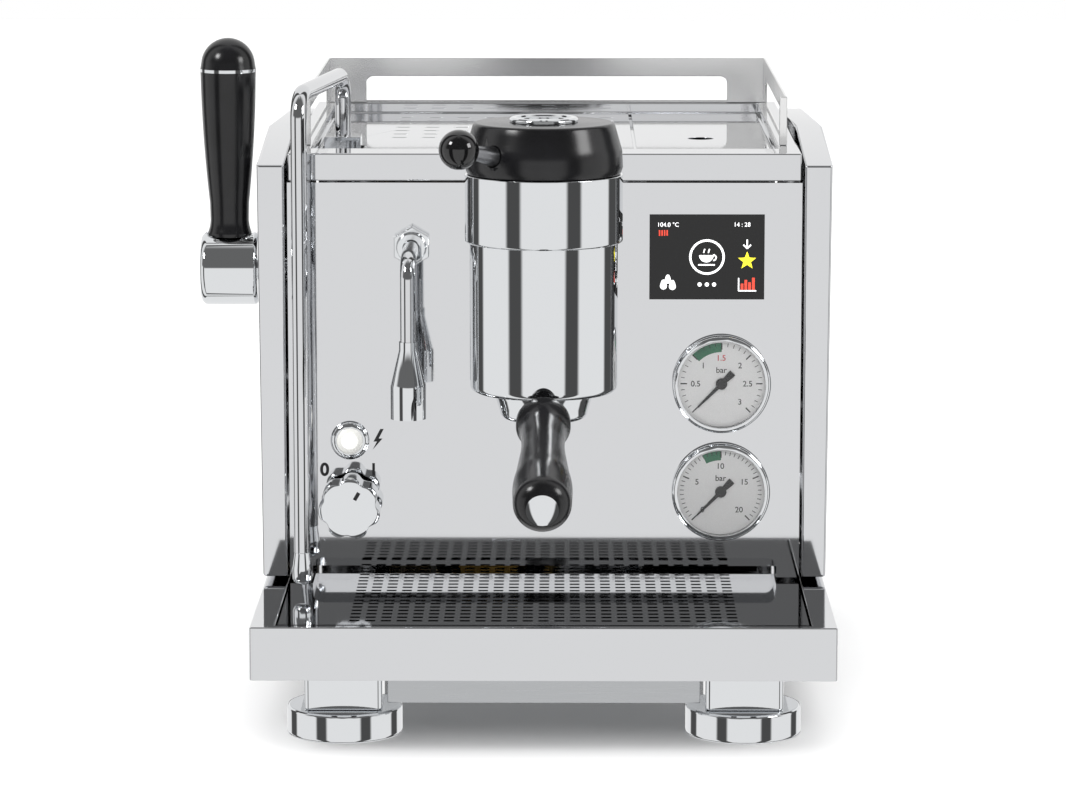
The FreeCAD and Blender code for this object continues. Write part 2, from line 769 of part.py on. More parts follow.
def sector_points(inner, outer, angle, half_angle):
    """A piece of a ring round the origin, between two angles in degrees."""
    first = math.radians(angle - half_angle)
    last = math.radians(angle + half_angle)
    return [
        (inner * math.cos(first), inner * math.sin(first)),
        (outer * math.cos(first), outer * math.sin(first)),
        (outer * math.cos(last), outer * math.sin(last), outer),
        (inner * math.cos(last), inner * math.sin(last)),
    ]


def make_group_upper_ring():
    """Wider turned sleeve round the top of the group."""
    body = new_body("group_upper_ring", back=D.group_y, level=D.ring_bottom)
    height = D.cap_bottom - D.fit_gap - D.ring_bottom
    step = 6
    turned(body, [
        (CHAMBER_RADIUS, 0), (D.ring_radius - 1, 0), (D.ring_radius, 1), (D.ring_radius, height),
        (D.ring_radius - step, height), (D.ring_radius - step, height - 3), (SHAFT_RADIUS, height - 3),
        (SHAFT_RADIUS, height + 12), (0, height + 12), (0, height - 9), (CHAMBER_RADIUS, height - 9),
    ])


def make_group_cap():
    """Moulded cap that turns on the group's spindle with the brew lever."""
    body = new_body("group_cap", back=D.group_y, level=D.cap_bottom)
    height = D.cap_top - D.cap_bottom
    bore = SHAFT_RADIUS + D.running_gap
    edge = 1.5
    turned(body, [
        (bore, 0), (D.ring_radius - 1.5, 0), (D.ring_radius, 4), (D.ring_radius - 0.6, height * 0.45),
        (D.cap_top_radius + 0.8, height - edge), (D.cap_top_radius - edge, height, edge + 1),
        (0, height), (0, 13), (bore, 13),
    ])
    across, back, level, turn = ball_place()
    socket = new_sketch(body, "XY_Plane")
    socket.AttachmentOffset = FreeCAD.Placement(Vector(), turn)
    socket.setExpression("AttachmentOffset.Base.x", across.formula)
    socket.setExpression("AttachmentOffset.Base.y", (back - D.group_y).formula)
    socket.setExpression("AttachmentOffset.Base.z", (level - D.cap_bottom).formula)
    add_circle(socket, 0, 0, STEM_ROOT_RADIUS + D.running_gap)
    pocket(socket, STEM_ROOT + D.running_gap)


def make_badge():
    """Plain round badge in the top of the cap."""
    badge = new_body("cap_badge", back=D.group_y, level=D.cap_top)
    rim = D.badge_radius
    turned(badge, [(0, 0), (rim, 0), (rim, 2), (rim - 1.2, 3.2), (rim - 4, 3.2), (rim - 5.2, 1.6),
                   (0, 1.6)])


# The lever's stem: how steeply it rises, how far its root is from the ball, and the root's radius.
STEM_SLOPE = 12.0
STEM_ROOT = 37.5
STEM_ROOT_RADIUS = 6.4


def ball_place():
    """Centre of the lever's ball, and the turn that points +Z outwards along the stem."""
    across = D.ball_reach * cosine(D.ball_angle)
    back = D.group_y + D.ball_reach * sine(D.ball_angle)
    turn = Rotation(Vector(0, 0, 1), D.ball_angle.value) * Rotation(Vector(0, 1, 0), 90 - STEM_SLOPE)
    return across, back, D.ball_level, turn


def make_stem_and_ball():
    """Tapered stem from the cap's side to a gloss ball, rising outwards."""
    ball = new_body("brew_ball", *ball_place())
    flat = 4.2
    seat = -math.sqrt(D.ball_radius.value ** 2 - flat ** 2)
    turned(ball, [(0, seat), (flat, seat), (0, D.ball_radius, D.ball_radius)])
    stem = new_body("brew_lever_stem", *ball_place())
    turned(stem, [(0, -STEM_ROOT), (STEM_ROOT_RADIUS, -STEM_ROOT), (STEM_ROOT_RADIUS, 4.5 - STEM_ROOT),
                  (flat, seat), (0, seat)])


def make_group_inside():
    """Gasket and shower screen, up in the group's cavity."""
    gasket = new_body("group_gasket", back=D.group_y, level=D.group_bottom + CAVITY_TOP - 8.5)
    turned(gasket, [(SCREEN_RADIUS + 0.4, 0), (D.lug_reach + 1, 0), (D.lug_reach + 1, 8.4),
                    (SCREEN_RADIUS + 0.4, 8.4)])
    screen = new_body("shower_screen", back=D.group_y, level=D.group_bottom + CAVITY_TOP - 6)
    turned(screen, [(0, 0), (SCREEN_RADIUS, 0), (SCREEN_RADIUS, 5.9), (SCREEN_RADIUS - 1, 5.9),
                    (SCREEN_RADIUS - 1, 1), (0, 1)])


# ---------------------------------------------------------------- portafilter
# The arm slopes less than the grip, and its end goes a little way into the grip's collar.
ARM_SLOPE = 4.0
ARM_RADIUS = 6.0
ARM_ENTRY = 1.0


def make_portafilter():
    """Cast bowl with two lugs, its spout and the short arm that the grip screws on."""
    body = new_body("portafilter_body", back=D.group_y, level=D.bowl_bottom)
    rim = D.group_bottom + CAVITY_TOP - 9.1 - D.bowl_bottom
    wall = D.bowl_radius - D.basket_radius - 0.35
    floor = 4
    turned(body, [
        (4, 0), (D.bowl_radius - 7.5, 0), (D.bowl_radius - 3.6, 4.4, 4.6), (D.bowl_radius, 16),
        (D.bowl_radius, rim), (D.bowl_radius - wall, rim), (D.bowl_radius - wall, 19),
        (D.bowl_radius - 7, floor), (4, floor),
    ])
    lugs = new_sketch(body, "XY_Plane")
    lugs.setExpression("AttachmentOffset.Base.z", (D.group_bottom + LUG_LEVEL - D.bowl_bottom).formula)
    for turn in (0, 180):
        add_path(lugs, sector_points(D.bowl_radius - 0.2, D.lug_reach, turn, 18))
    pad(lugs, Size.of(LUG_HEIGHT))


def make_grip():
    """Moulded grip that swells towards its end, with a polished cap in the end."""
    turn = Rotation(Vector(1, 0, 0), 90 + D.grip_slope.value)
    body = new_body("portafilter_grip", 0, D.grip_start, D.grip_level, turn)
    length = D.grip_length
    recess = 5
    turned(body, [
        (0, ARM_ENTRY * 2), (ARM_RADIUS + 0.6, ARM_ENTRY * 2), (ARM_RADIUS + 0.6, 0),
        (D.grip_collar - 2, 0), (D.grip_collar, 3, 3), (D.grip_collar, 9),
        (D.grip_waist + 0.5, 21, -30), (D.grip_waist, 40), (D.grip_waist + 0.4, 52),
        (D.grip_waist + 3.2, 88), (D.grip_end, length - 22, 120), (D.grip_end - 0.3, length - 11),
        (D.end_cap_radius + 0.1, length, 12.5),
        (D.end_cap_radius + 0.1, length - recess), (0, length - recess),
    ])
    cap = new_body("grip_end_cap", 0, D.grip_start, D.grip_level, turn)
    radius = D.end_cap_radius
    crown = 1.8
    turned(cap, [(0, length - recess), (radius, length - recess), (radius, length),
                 (0, length + crown, dome(radius, crown))])


def make_arm():
    """Arm of the portafilter casting, from the bowl to the grip's collar."""
    body = DOC.getObject("portafilter_body")
    arm = new_sketch(body, "XZ_Plane")
    arm.AttachmentOffset = FreeCAD.Placement(Vector(), Rotation(Vector(1, 0, 0), ARM_SLOPE))
    arm.setExpression("AttachmentOffset.Base.y", (D.grip_level - D.bowl_bottom).formula)
    arm.setExpression("AttachmentOffset.Base.z", (D.group_y - D.grip_start + ARM_ENTRY).formula)
    add_circle(arm, 0, 0, ARM_RADIUS)
    pad(arm, 24 + ARM_ENTRY, reverse=True)


def make_filter_basket():
    """Thin filter basket that hangs in the bowl by its rim."""
    top = D.group_bottom + CAVITY_TOP - 9.0
    depth = 24
    body = new_body("filter_basket", back=D.group_y, level=top - depth)
    radius = D.basket_radius
    wall = 0.6
    turned(body, [
        (0, 0), (radius - 4, 0), (radius, 4, 4), (radius, depth), (D.bowl_radius - 0.2, depth),
        (D.bowl_radius - 0.2, depth + 0.4), (radius - wall, depth + 0.4), (radius - wall, 4),
        (radius - 4, wall, -(4 - wall)), (0, wall),
    ])


# ---------------------------------------------------------------- instruments
def make_gauge(prefix, level):
    """A round pressure gauge in four pieces: case with bezel, dial, needle and lens."""
    case = new_body(prefix + "_gauge_case", D.gauge_across, 0, level, TO_VIEWER)
    bezel = D.gauge_bezel
    dial = D.gauge_dial
    depth = 34
    turned(case, [
        (0, -depth), (dial, -depth), (dial, 0.1), (bezel - 0.6, 0.1), (bezel, 2), (bezel, 4.5),
        (bezel - 2, D.gauge_proud, 2.6), (dial + 0.2, D.gauge_proud), (dial + 0.2, 0.6),
        (dial - 1, 0.6), (dial - 1, -6), (0, -6),
    ])
    plate = new_body(prefix + "_gauge_dial", D.gauge_across, 0, level, TO_VIEWER)
    turned(plate, [(2.4, 0.7), (dial, 0.7), (dial, 1.5), (2.4, 1.5)])
    lens = new_body(prefix + "_gauge_lens", D.gauge_across, 0, level, TO_VIEWER)
    turned(lens, [(0, 4.8), (dial, 4.8), (dial, 6.2), (0, 6.2)])
    needle = new_body(prefix + "_needle", D.gauge_across, 0, level, TO_VIEWER)
    turned(needle, [(0, -5), (2, -5), (2, 1.8), (3.6, 1.8), (3.6, 3.4), (0, 3.4)])
    blade = new_sketch(needle, "XY_Plane")
    blade.AttachmentOffset = FreeCAD.Placement(Vector(0, 0, 2.1), Rotation(Vector(0, 0, 1), 225))
    add_path(blade, [(-10, -2.2), (-7.5, -2.2), (0, -1.3), (21, -0.5), (23, 0), (21, 0.5), (0, 1.3),
                     (-7.5, 2.2), (-10, 2.2)])
    pad(blade, Size.of(0.8))


def make_screen():
    """Display module behind the panel and the dark glass in the panel's opening."""
    half_width = D.screen_width / 2
    half_height = D.screen_height / 2
    module = new_body("screen_module", D.screen_across, D.sheet + 0.6, D.screen_level, TO_BACK)
    outline = new_sketch(module, "XY_Plane")
    add_path(outline, box_points(-half_width - 4, -half_height - 4, half_width + 4, half_height + 4))
    pad(outline, Size.of(14))
    glass = new_body("screen_glass", D.screen_across, D.sheet + 0.5, D.screen_level, TO_VIEWER)
    face = new_sketch(glass, "XY_Plane")
    gap = 0.2
    add_path(face, box_points(gap - half_width, gap - half_height, half_width - gap, half_height - gap))
    pad(face, D.sheet + 0.9)


def make_lamp():
    """Indicator lamp: a turned bezel with its barrel, and a domed lens."""
    bezel = new_body("lamp_bezel", D.lamp_across, 0, D.lamp_level, TO_VIEWER)
    radius = D.lamp_radius
    lens_radius = 8.4
    barrel = radius - 2.2
    turned(bezel, [
        (0, -18), (barrel, -18), (barrel, 0.05), (radius, 0.05), (radius, 1.6),
        (lens_radius + 1.2, 4.2, 5), (lens_radius + 0.1, 4.2), (lens_radius + 0.1, 0.5), (0, 0.5),
    ])
    lens = new_body("lamp_lens", D.lamp_across, 0, D.lamp_level, TO_VIEWER)
    turned(lens, [(0, 0.6), (lens_radius, 0.6), (lens_radius, 3.8),
                  (0, 6.6, dome(lens_radius, 2.8))])


# Degrees from upright at which the power knob's pointer stands.
KNOB_POINTER = 30


def make_power_knob():
    """Fluted rotary knob with a pointer groove, on the shaft of the switch behind the panel."""
    body = new_body("power_knob", D.knob_across, 0, D.knob_level, TO_VIEWER)
    depth = -D.knob_front
    foot = -D.knob_back
    radius = D.knob_radius
    turned(body, [
        (0, foot), (radius - 3, foot), (radius, foot + 5), (radius, depth - 5),
        (radius - 5, depth, 5.4), (0, depth),
    ])
    lobes = 7
    flute_radius = 7.4
    flute = new_sketch(body, "XY_Plane")
    angle = math.radians(KNOB_POINTER)
    add_circle(flute, radius * math.sin(angle), radius * math.cos(angle), flute_radius)
    cut = pocket(flute, depth + 1, reverse=True)
    flutes = body.newObject("PartDesign::PolarPattern", "power_knob_flutes")
    flutes.Originals = [cut]
    flutes.Axis = (flute, ["N_Axis"])
    flutes.Angle = 360
    flutes.Occurrences = lobes
    body.Tip = flutes
    pointer = new_sketch(body, "XY_Plane")
    turn = Rotation(Vector(0, 0, 1), -KNOB_POINTER)
    pointer.AttachmentOffset = FreeCAD.Placement(Vector(0, 0, 0), turn)
    pointer.setExpression("AttachmentOffset.Base.z", (depth + 1).formula)
    add_path(pointer, box_points(-1.3, 6, 1.3, 12))
    pocket(pointer, Size.of(1.8))
    bore = new_sketch(body, "XY_Plane")
    add_circle(bore, 0, 0, 3 + D.running_gap)
    pocket(bore, foot + 10, reverse=True)


def make_switch():
    """Rotary switch behind the panel, with the shaft that the knob sits on."""
    body = new_body("switch_body", D.knob_across, 0, D.knob_level, TO_VIEWER)
    outline = new_sketch(body, "XY_Plane")
    outline.setExpression("AttachmentOffset.Base.z", (-D.sheet - 26.1).formula)
    add_path(outline, box_points(-17, -17, 17, 17))
    pad(outline, Size.of(26))
    shaft = new_sketch(body, "XY_Plane")
    shaft.setExpression("AttachmentOffset.Base.z", (-D.sheet - 1).formula)
    add_circle(shaft, 0, 0, 3)
    pad(shaft, D.sheet + 1 - D.knob_back + 9)


# ---------------------------------------------------------------- hot water spout
def make_spout():
    """Hexagon nut, swivelling bent tube and flared nozzle of the hot water outlet."""
    nut = new_body("spout_nut", D.spout_across, 0, D.spout_level, TO_VIEWER)
    bore = D.spout_tube / 2 + D.running_gap
    hexagon = new_sketch(nut, "XY_Plane")
    reach = 12.8
    corners = [(reach * math.sin(math.radians(60 * turn)), reach * math.cos(math.radians(60 * turn)))
               for turn in range(6)]
    add_path(hexagon, corners[::-1])
    add_circle(hexagon, 0, 0, bore)
    hexagon.setExpression("AttachmentOffset.Base.z", "0.1")
    pad(hexagon, Size.of(11))
    collar = new_sketch(nut, "XY_Plane")
    collar.setExpression("AttachmentOffset.Base.z", "-20")
    add_circle(collar, 0, 0, 6)
    add_circle(collar, 0, 0, bore)
    pad(collar, Size.of(21))
    hood = new_sketch(nut, "XY_Plane")
    hood.setExpression("AttachmentOffset.Base.z", "11")
    add_circle(hood, 0, 0, 9.2)
    add_circle(hood, 0, 0, bore)
    pad(hood, Size.of(6))

    tube = new_body("spout_tube", D.spout_across, 10, D.spout_level)
    bend = 14
    runs = [(0, 0), (D.spout_reach - 10 + bend, 0), (D.spout_reach - 10, -Size.of(bend), bend),
            (D.spout_reach - 10, D.nozzle_top - D.spout_level)]
    bent_tube(tube, "YZ_Plane", runs, "XZ_Plane", D.spout_tube, 1.0)

    nozzle = new_body("spout_nozzle", D.spout_across, D.spout_reach, D.nozzle_bottom)
    height = D.nozzle_top - D.nozzle_bottom
    radius = D.nozzle_radius
    neck = D.spout_tube / 2
    wall = 1.2
    turned(nozzle, [
        (radius - wall, 0), (radius, 0), (radius, height * 0.42), (neck + 0.8, height - 5),
        (neck + 0.8, height), (neck - 1, height), (neck - 1, height - 5),
        (radius - wall, height * 0.42),
    ])


# ---------------------------------------------------------------- steam wand and steam lever
def make_wand():
    """Steam wand: flange on the deck, tube over the front of the machine, and tip."""
    base = new_body("wand_base", D.wand_across, D.wand_back, D.deck_level - 12)
    flange = new_sketch(base, "XY_Plane")
    add_path(flange, box_points(-12, -12, 12, 12))
    add_circle(flange, 0, 0, D.wand_tube / 2 + D.running_gap)
    pad(flange, Size.of(20))

    tube = new_body("wand_tube", D.wand_across, D.wand_back, D.deck_level - 8,
                    Rotation(Vector(0, 0, 1), -90 - D.wand_turn.value))
    rise = D.wand_arm_level - D.deck_level + 8
    bend = D.wand_bend
    foot = D.wand_tip_top - D.deck_level + 8
    runs = [(0, 0), (0, rise - bend), (bend, rise, -bend), (D.wand_arm_length - bend, rise),
            (D.wand_arm_length, rise - bend, -bend), (D.wand_arm_length, foot)]
    bent_tube(tube, "XZ_Plane", runs, "XY_Plane", D.wand_tube, 1.2)

    across = D.wand_across - D.wand_arm_length * sine(D.wand_turn)
    back = D.wand_back - D.wand_arm_length * cosine(D.wand_turn)
    tip = new_body("wand_tip", across, back, D.wand_tip_bottom)
    height = D.wand_tip_top - D.wand_tip_bottom
    radius = D.wand_tip_radius
    turned(tip, [(0, -1.5), (3, -1.5), (radius - 1, 0, 6), (radius, 2), (radius, height * 0.45),
                 (D.wand_tube / 2 - 0.4, height), (0, height)])


def make_steam_lever():
    """Steam lever: hub on the valve's shaft, upright grip and its polished band."""
    hub = new_body("steam_hub", -D.hub_inner, D.hub_back, D.hub_level, TO_LEFT)
    length = D.hub_outer - D.hub_inner
    radius = D.hub_radius
    bore = SHAFT_RADIUS + D.running_gap
    turned(hub, [(bore, 0), (radius - 1.5, 0), (radius, 1.5), (radius, length - 4),
                 (radius - 4, length, 4), (0, length), (0, length - 8), (bore, length - 8)])
    socket = D.lever_across - D.hub_inner
    for hole_radius, depth in ((14.6, 3.5), (6 + D.running_gap, 13)):
        hole = new_sketch(hub, "YZ_Plane")
        hole.setExpression("AttachmentOffset.Base.z", (radius + 1).formula)
        add_circle(hole, 0, socket, hole_radius)
        pocket(hole, depth)

    grip = new_body("steam_grip", -D.lever_across, D.hub_back, D.hub_level)
    foot = D.lever_foot - D.hub_level
    band = D.lever_band - D.hub_level
    top = D.lever_top - D.hub_level
    low = D.lever_foot_radius
    high = D.lever_top_radius
    stud = 13.0
    groove = 0.6
    turned(grip, [
        (0, stud), (6, stud), (6, foot + 0.6), (low + 1.4, foot + 0.6), (low + 1.6, foot + 3, 5),
        (low, foot + 11, -26), (low + 0.3, foot + 22), (high, band - 1.1, 900),
        (high - groove, band - 1.1), (high - groove, band + 1.1), (high, band + 1.1),
        (high - 0.6, band + 5), (0, top, dome(high - 0.6, top - band - 5)),
    ])
    ring = new_body("steam_grip_band", -D.lever_across, D.hub_back, D.hub_level)
    turned(ring, [(high - groove + 0.02, band - 1), (high + 0.2, band - 1), (high + 0.2, band + 1),
                  (high - groove + 0.02, band + 1)])


def make_steam_valve():
    """Steam valve inside the left wall; its shaft carries the lever's hub."""
    body = new_body("steam_valve", 0, D.hub_back, D.hub_level, TO_LEFT)
    outer = D.hub_outer - 9
    turned(body, [(0, 118), (16, 118), (16, 160), (SHAFT_RADIUS, 160), (SHAFT_RADIUS, outer),
                  (0, outer)])


# ---------------------------------------------------------------- water side, inside the casing
TANK = SimpleNamespace(left=66.0, right=145.0, front=62.0, back=330.0, bottom=110.0, top=344.0)
STEAM_BOILER = SimpleNamespace(across=-92.0, front=128.0, back=300.0, level=242.0, radius=52.0)
BREW_BOILER = SimpleNamespace(front=58.5, back=190.0, radius=38.0)
MOTOR = SimpleNamespace(across=-38.0, front=170.0, back=305.0, level=94.0, radius=40.0)


def make_water_tank():
    """Open moulded tank under the lid."""
    body = new_body("water_tank", level=TANK.bottom)
    plan = new_sketch(body, "XY_Plane")
    height = Size.of(TANK.top - TANK.bottom)
    add_path(plan, box_points(TANK.left, TANK.front, TANK.right, TANK.back))
    pad(plan, height)
    wall = 2.5
    inside = new_sketch(body, "XY_Plane")
    inside.setExpression("AttachmentOffset.Base.z", height.formula)
    add_path(inside, box_points(TANK.left + wall, TANK.front + wall, TANK.right - wall, TANK.back - wall))
    pocket(inside, height - wall)


def make_boiler(label, across, front, back, level, radius):
    """Hollow horizontal boiler with a dished end, a bolted flange and a filling port."""
    body = new_body(label, across, back, level, TO_VIEWER)
    length = back - front
    dish = 12
    flange = 14
    shell = radius - 4
    wall = 2.5
    port = 3
    turned(body, [
        (port, 0), (shell - dish, 0), (shell, dish, dish), (shell, length - flange),
        (radius, length - flange), (radius, length), (0, length), (0, length - 6),
        (shell - wall, length - 6), (shell - wall, dish), (port, dish),
    ])


def make_boiler_stand(label, level, radius, length):
    """Two brackets that carry a boiler on the base pan."""
    body = DOC.getObject(label)
    stand = new_sketch(body, "XZ_Plane")
    drop = Size.of(level) - D.pan_top
    stand.setExpression("AttachmentOffset.Base.z", drop.formula)
    for near in (18, length - 34):
        add_path(stand, box_points(-14, near, 14, near + 3))
    pad(stand, drop - radius + 8, reverse=True)


def make_pump():
    """Rotary pump head on the shaft end of its motor."""
    motor = new_body("pump_motor", MOTOR.across, MOTOR.back, MOTOR.level, TO_VIEWER)
    length = MOTOR.back - MOTOR.front
    radius = MOTOR.radius
    turned(motor, [(0, 0), (radius - 6, 0), (radius, 6), (radius, length - 6), (radius - 6, length),
                   (22, length), (22, length + 10), (0, length + 10)])
    cradle = new_sketch(motor, "XZ_Plane")
    cradle.setExpression("AttachmentOffset.Base.z", (Size.of(MOTOR.level) - D.pan_top).formula)
    add_path(cradle, box_points(-24, 30, 24, 110))
    pad(cradle, Size.of(12), reverse=True)
    head = new_body("pump_head", MOTOR.across, MOTOR.front - 10.05, MOTOR.level, TO_VIEWER)
    turned(head, [(0, 0), (22, 0), (22, 6), (26, 6), (26, 40), (20, 46), (0, 46)])


def make_controls():
    """Control box on the floor under the tank, and the drain valve behind the panel."""
    drawn_box("control_box", 70, 120, 142, 310, D.pan_top + 0.05, Size.of(52))
    coil = new_body("solenoid_valve", 0, 30, 168)
    base = new_sketch(coil, "XY_Plane")
    add_path(base, box_points(-12, -12, 12, 12))
    pad(base, Size.of(26))
    barrel = new_sketch(coil, "XY_Plane")
    barrel.setExpression("AttachmentOffset.Base.z", "26")
    add_circle(barrel, 0, 0, 9)
    pad(barrel, Size.of(34))


def make_steam_pipe():
    """Copper pipe from the steam valve up to the wand's flange."""
    start = D.hub_level + 16.2
    pipe = new_body("steam_pipe", D.wand_across, D.hub_back, start)
    rise = Size.of(28)
    bend = 12
    reach = D.wand_back - D.hub_back
    end = D.deck_level - 12.1 - start
    runs = [(0, 0), (0, rise - bend), (bend, rise, -Size.of(bend)), (reach - bend, rise),
            (reach, rise + bend, bend), (reach, end)]
    bent_tube(pipe, "YZ_Plane", runs, "XY_Plane", Size.of(8), 1.0)


INLET_ACROSS = 105.0
INLET_LEVEL = 80.0
INLET_HALF_WIDTH = 14.2
INLET_HALF_HEIGHT = 10.4


def make_power_inlet():
    """Appliance inlet on the back: a flanged moulding with a socket for the mains lead."""
    body = new_body("power_inlet", INLET_ACROSS, D.frame_back + 0.05, INLET_LEVEL, TO_BACK)
    flange = new_sketch(body, "XY_Plane")
    add_path(flange, box_points(-25, -13, 25, 13))
    pad(flange, Size.of(SOCKET_PROUD - 0.05))
    shell = new_sketch(body, "XY_Plane")
    width = INLET_HALF_WIDTH - 0.3
    height = INLET_HALF_HEIGHT - 0.3
    add_path(shell, box_points(-width, -height, width, height))
    pad(shell, Size.of(22), reverse=True)
    well = new_sketch(body, "XY_Plane")
    well.setExpression("AttachmentOffset.Base.z", "3")
    add_path(well, box_points(2 - width, 2 - height, width - 2, height - 2))
    pocket(well, Size.of(19))
    pins = new_sketch(body, "XY_Plane")
    pins.setExpression("AttachmentOffset.Base.z", "-18")
    for across, up in ((-7, -2.5), (0, 2.5), (7, -2.5)):
        add_path(pins, box_points(across - 1, up - 2, across + 1, up + 2))
    pad(pins, Size.of(15))


def make_screws():
    """Dome-head screws that hold the back panel, all in one node."""
    body = new_body("case_screws", back=D.frame_back, turn=TO_BACK)
    heads = new_sketch(body, "XY_Plane")
    for across in (-155, -52, 52, 155):
        for level in (60, 330):
            add_circle(heads, across, -Size.of(level), 3.2)
    heads.setExpression("AttachmentOffset.Base.z", "0.02")
    pad(heads, Size.of(1.6))


# ---------------------------------------------------------------- assembly
def build():
    make_base_pan()
    make_legs_and_feet()
    make_front_panel()
    make_side_panel("left_side_panel", -1)
    make_side_panel("right_side_panel", 1)
    make_back_panel()
    make_top_frame()
    make_cup_tray()
    make_tank_lid()
    make_cup_rail()
    make_drip_tray()
    make_drip_grate()
    make_group_neck()
    make_group_body()
    make_group_upper_ring()
    make_group_inside()
    make_group_cap()
    make_badge()
    make_stem_and_ball()
    make_portafilter()
    make_arm()
    make_grip()
    make_filter_basket()
    make_gauge("steam", D.gauge_upper)
    make_gauge("brew", D.gauge_lower)
    make_screen()
    make_lamp()
    make_power_knob()
    make_switch()
    make_spout()
    make_wand()
    make_steam_lever()
    make_steam_valve()
    make_water_tank()
    boiler = STEAM_BOILER
    make_boiler("steam_boiler", boiler.across, boiler.front, boiler.back, boiler.level, boiler.radius)
    make_boiler_stand("steam_boiler", boiler.level, boiler.radius, boiler.back - boiler.front)
    boiler = BREW_BOILER
    make_boiler("brew_boiler", 0, boiler.front, boiler.back, D.neck_level, boiler.radius)
    make_pump()
    make_controls()
    make_steam_pipe()
    make_power_inlet()
    make_screws()


def check_document():
    """Stop on any object that failed to compute and on any sub-part without a sound shape."""
    for item in DOC.Objects:
        if {"Invalid", "Error"} & set(item.State):
            raise RuntimeError("%s is %s" % (item.Name, item.State))
    for item in SUB_PARTS:
        if item.Shape.isNull() or not item.Shape.isValid():
            raise RuntimeError("%s has no sound shape" % item.Label)


build()
DOC.recompute()
check_document()
os.makedirs("parts", exist_ok=True)
for sub_part in SUB_PARTS:
    sub_part.Shape.exportStep("parts/%s.step" % sub_part.Label)
print("sub-parts written:", len(SUB_PARTS))
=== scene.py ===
"""Looks of a mirror-polished espresso machine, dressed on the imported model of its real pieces.

The machine stands on the worktop at z = 0 and faces -Y. Lengths are in metres, and small features
are written in millimetres times MM.
"""
import json
import math

import bmesh
import bpy
import numpy as np
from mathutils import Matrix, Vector


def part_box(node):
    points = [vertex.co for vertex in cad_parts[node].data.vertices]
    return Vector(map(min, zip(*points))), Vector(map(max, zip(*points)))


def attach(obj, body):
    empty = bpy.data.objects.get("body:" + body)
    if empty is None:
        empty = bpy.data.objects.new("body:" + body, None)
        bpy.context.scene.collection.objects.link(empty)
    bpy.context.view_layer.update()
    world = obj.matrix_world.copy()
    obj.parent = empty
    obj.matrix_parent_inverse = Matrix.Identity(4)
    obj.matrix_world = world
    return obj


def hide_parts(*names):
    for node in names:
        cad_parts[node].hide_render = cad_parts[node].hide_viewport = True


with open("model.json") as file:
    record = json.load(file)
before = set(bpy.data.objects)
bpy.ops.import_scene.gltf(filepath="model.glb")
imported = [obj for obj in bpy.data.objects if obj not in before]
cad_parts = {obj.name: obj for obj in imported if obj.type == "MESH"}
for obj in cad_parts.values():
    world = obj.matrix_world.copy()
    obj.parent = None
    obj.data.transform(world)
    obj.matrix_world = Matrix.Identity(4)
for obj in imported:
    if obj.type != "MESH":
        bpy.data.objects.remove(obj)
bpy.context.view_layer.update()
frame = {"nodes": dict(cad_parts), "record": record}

MM = 0.001
NODES = frame["nodes"]
RECORD = frame["record"]
BODY_OF = {node: body for body, nodes in RECORD["behaviour"]["bodies"].items() for node in nodes}
SLOT_OF = {part["node"]: part["material_slot"] for part in RECORD["subparts"]}


# ---------------------------------------------------------------- colours and nodes
def linear(code):
    """Linear RGBA from an sRGB hex code: c / 12.92 below 0.04045, above it
    ((c + 0.055) / 1.055) ** 2.4."""
    srgb = np.array([int(code[i:i + 2], 16) for i in (1, 3, 5)]) / 255
    rgb = np.where(srgb <= 0.04045, srgb / 12.92, ((srgb + 0.055) / 1.055) ** 2.4)
    return (*[float(c) for c in rgb], 1.0)


def add(tree, kind, settings=None, inputs=None, links=None):
    """Add one node: settings are its properties, inputs its socket values, links its socket
    sources."""
    node = tree.nodes.new(kind)
    for name, value in (settings or {}).items():
        setattr(node, name, value)
    for name, value in (inputs or {}).items():
        node.inputs[name].default_value = value
    for name, source in (links or {}).items():
        tree.links.new(source, node.inputs[name])
    return node


def finish_of(name, colour, roughness, metallic=0.0, **sockets):
    """Start a finish: a material with a principled shader. Returns (material, tree, shader, place),
    where place is the object coordinates, in metres."""
    material = bpy.data.materials.new(name)
    material.use_nodes = True
    tree = material.node_tree
    tree.nodes.clear()
    inputs = {"Base Color": linear(colour), "Roughness": roughness, "Metallic": metallic}
    inputs.update({key.replace("_", " "): value for key, value in sockets.items()})
    shader = add(tree, "ShaderNodeBsdfPrincipled", inputs=inputs)
    add(tree, "ShaderNodeOutputMaterial", links={"Surface": shader.outputs[0]})
    place = add(tree, "ShaderNodeTexCoord").outputs["Object"]
    return material, tree, shader, place


def bump_from(tree, shader, height, distance, strength=1.0):
    """Give the shader a relief of that depth in metres, from a height between 0 and 1."""
    bump = add(tree, "ShaderNodeBump", inputs={"Distance": distance, "Strength": strength},
               links={"Height": height})
    tree.links.new(bump.outputs[0], shader.inputs["Normal"])


def vary_roughness(tree, shader, source, low, high):
    """Roughness goes from low to high as the source pattern goes from 0 to 1."""
    spread = add(tree, "ShaderNodeMapRange", inputs={"To Min": low, "To Max": high},
                 links={"Value": source})
    tree.links.new(spread.outputs[0], shader.inputs["Roughness"])


def vary_colour(tree, shader, source, first, second, low=0.35, high=0.65):
    """Base colour goes from first to second as the source pattern goes from low to high."""
    ramp = add(tree, "ShaderNodeValToRGB", links={"Fac": source})
    ramp.color_ramp.elements[0].position = low
    ramp.color_ramp.elements[0].color = linear(first)
    ramp.color_ramp.elements[1].position = high
    ramp.color_ramp.elements[1].color = linear(second)
    tree.links.new(ramp.outputs[0], shader.inputs["Base Color"])


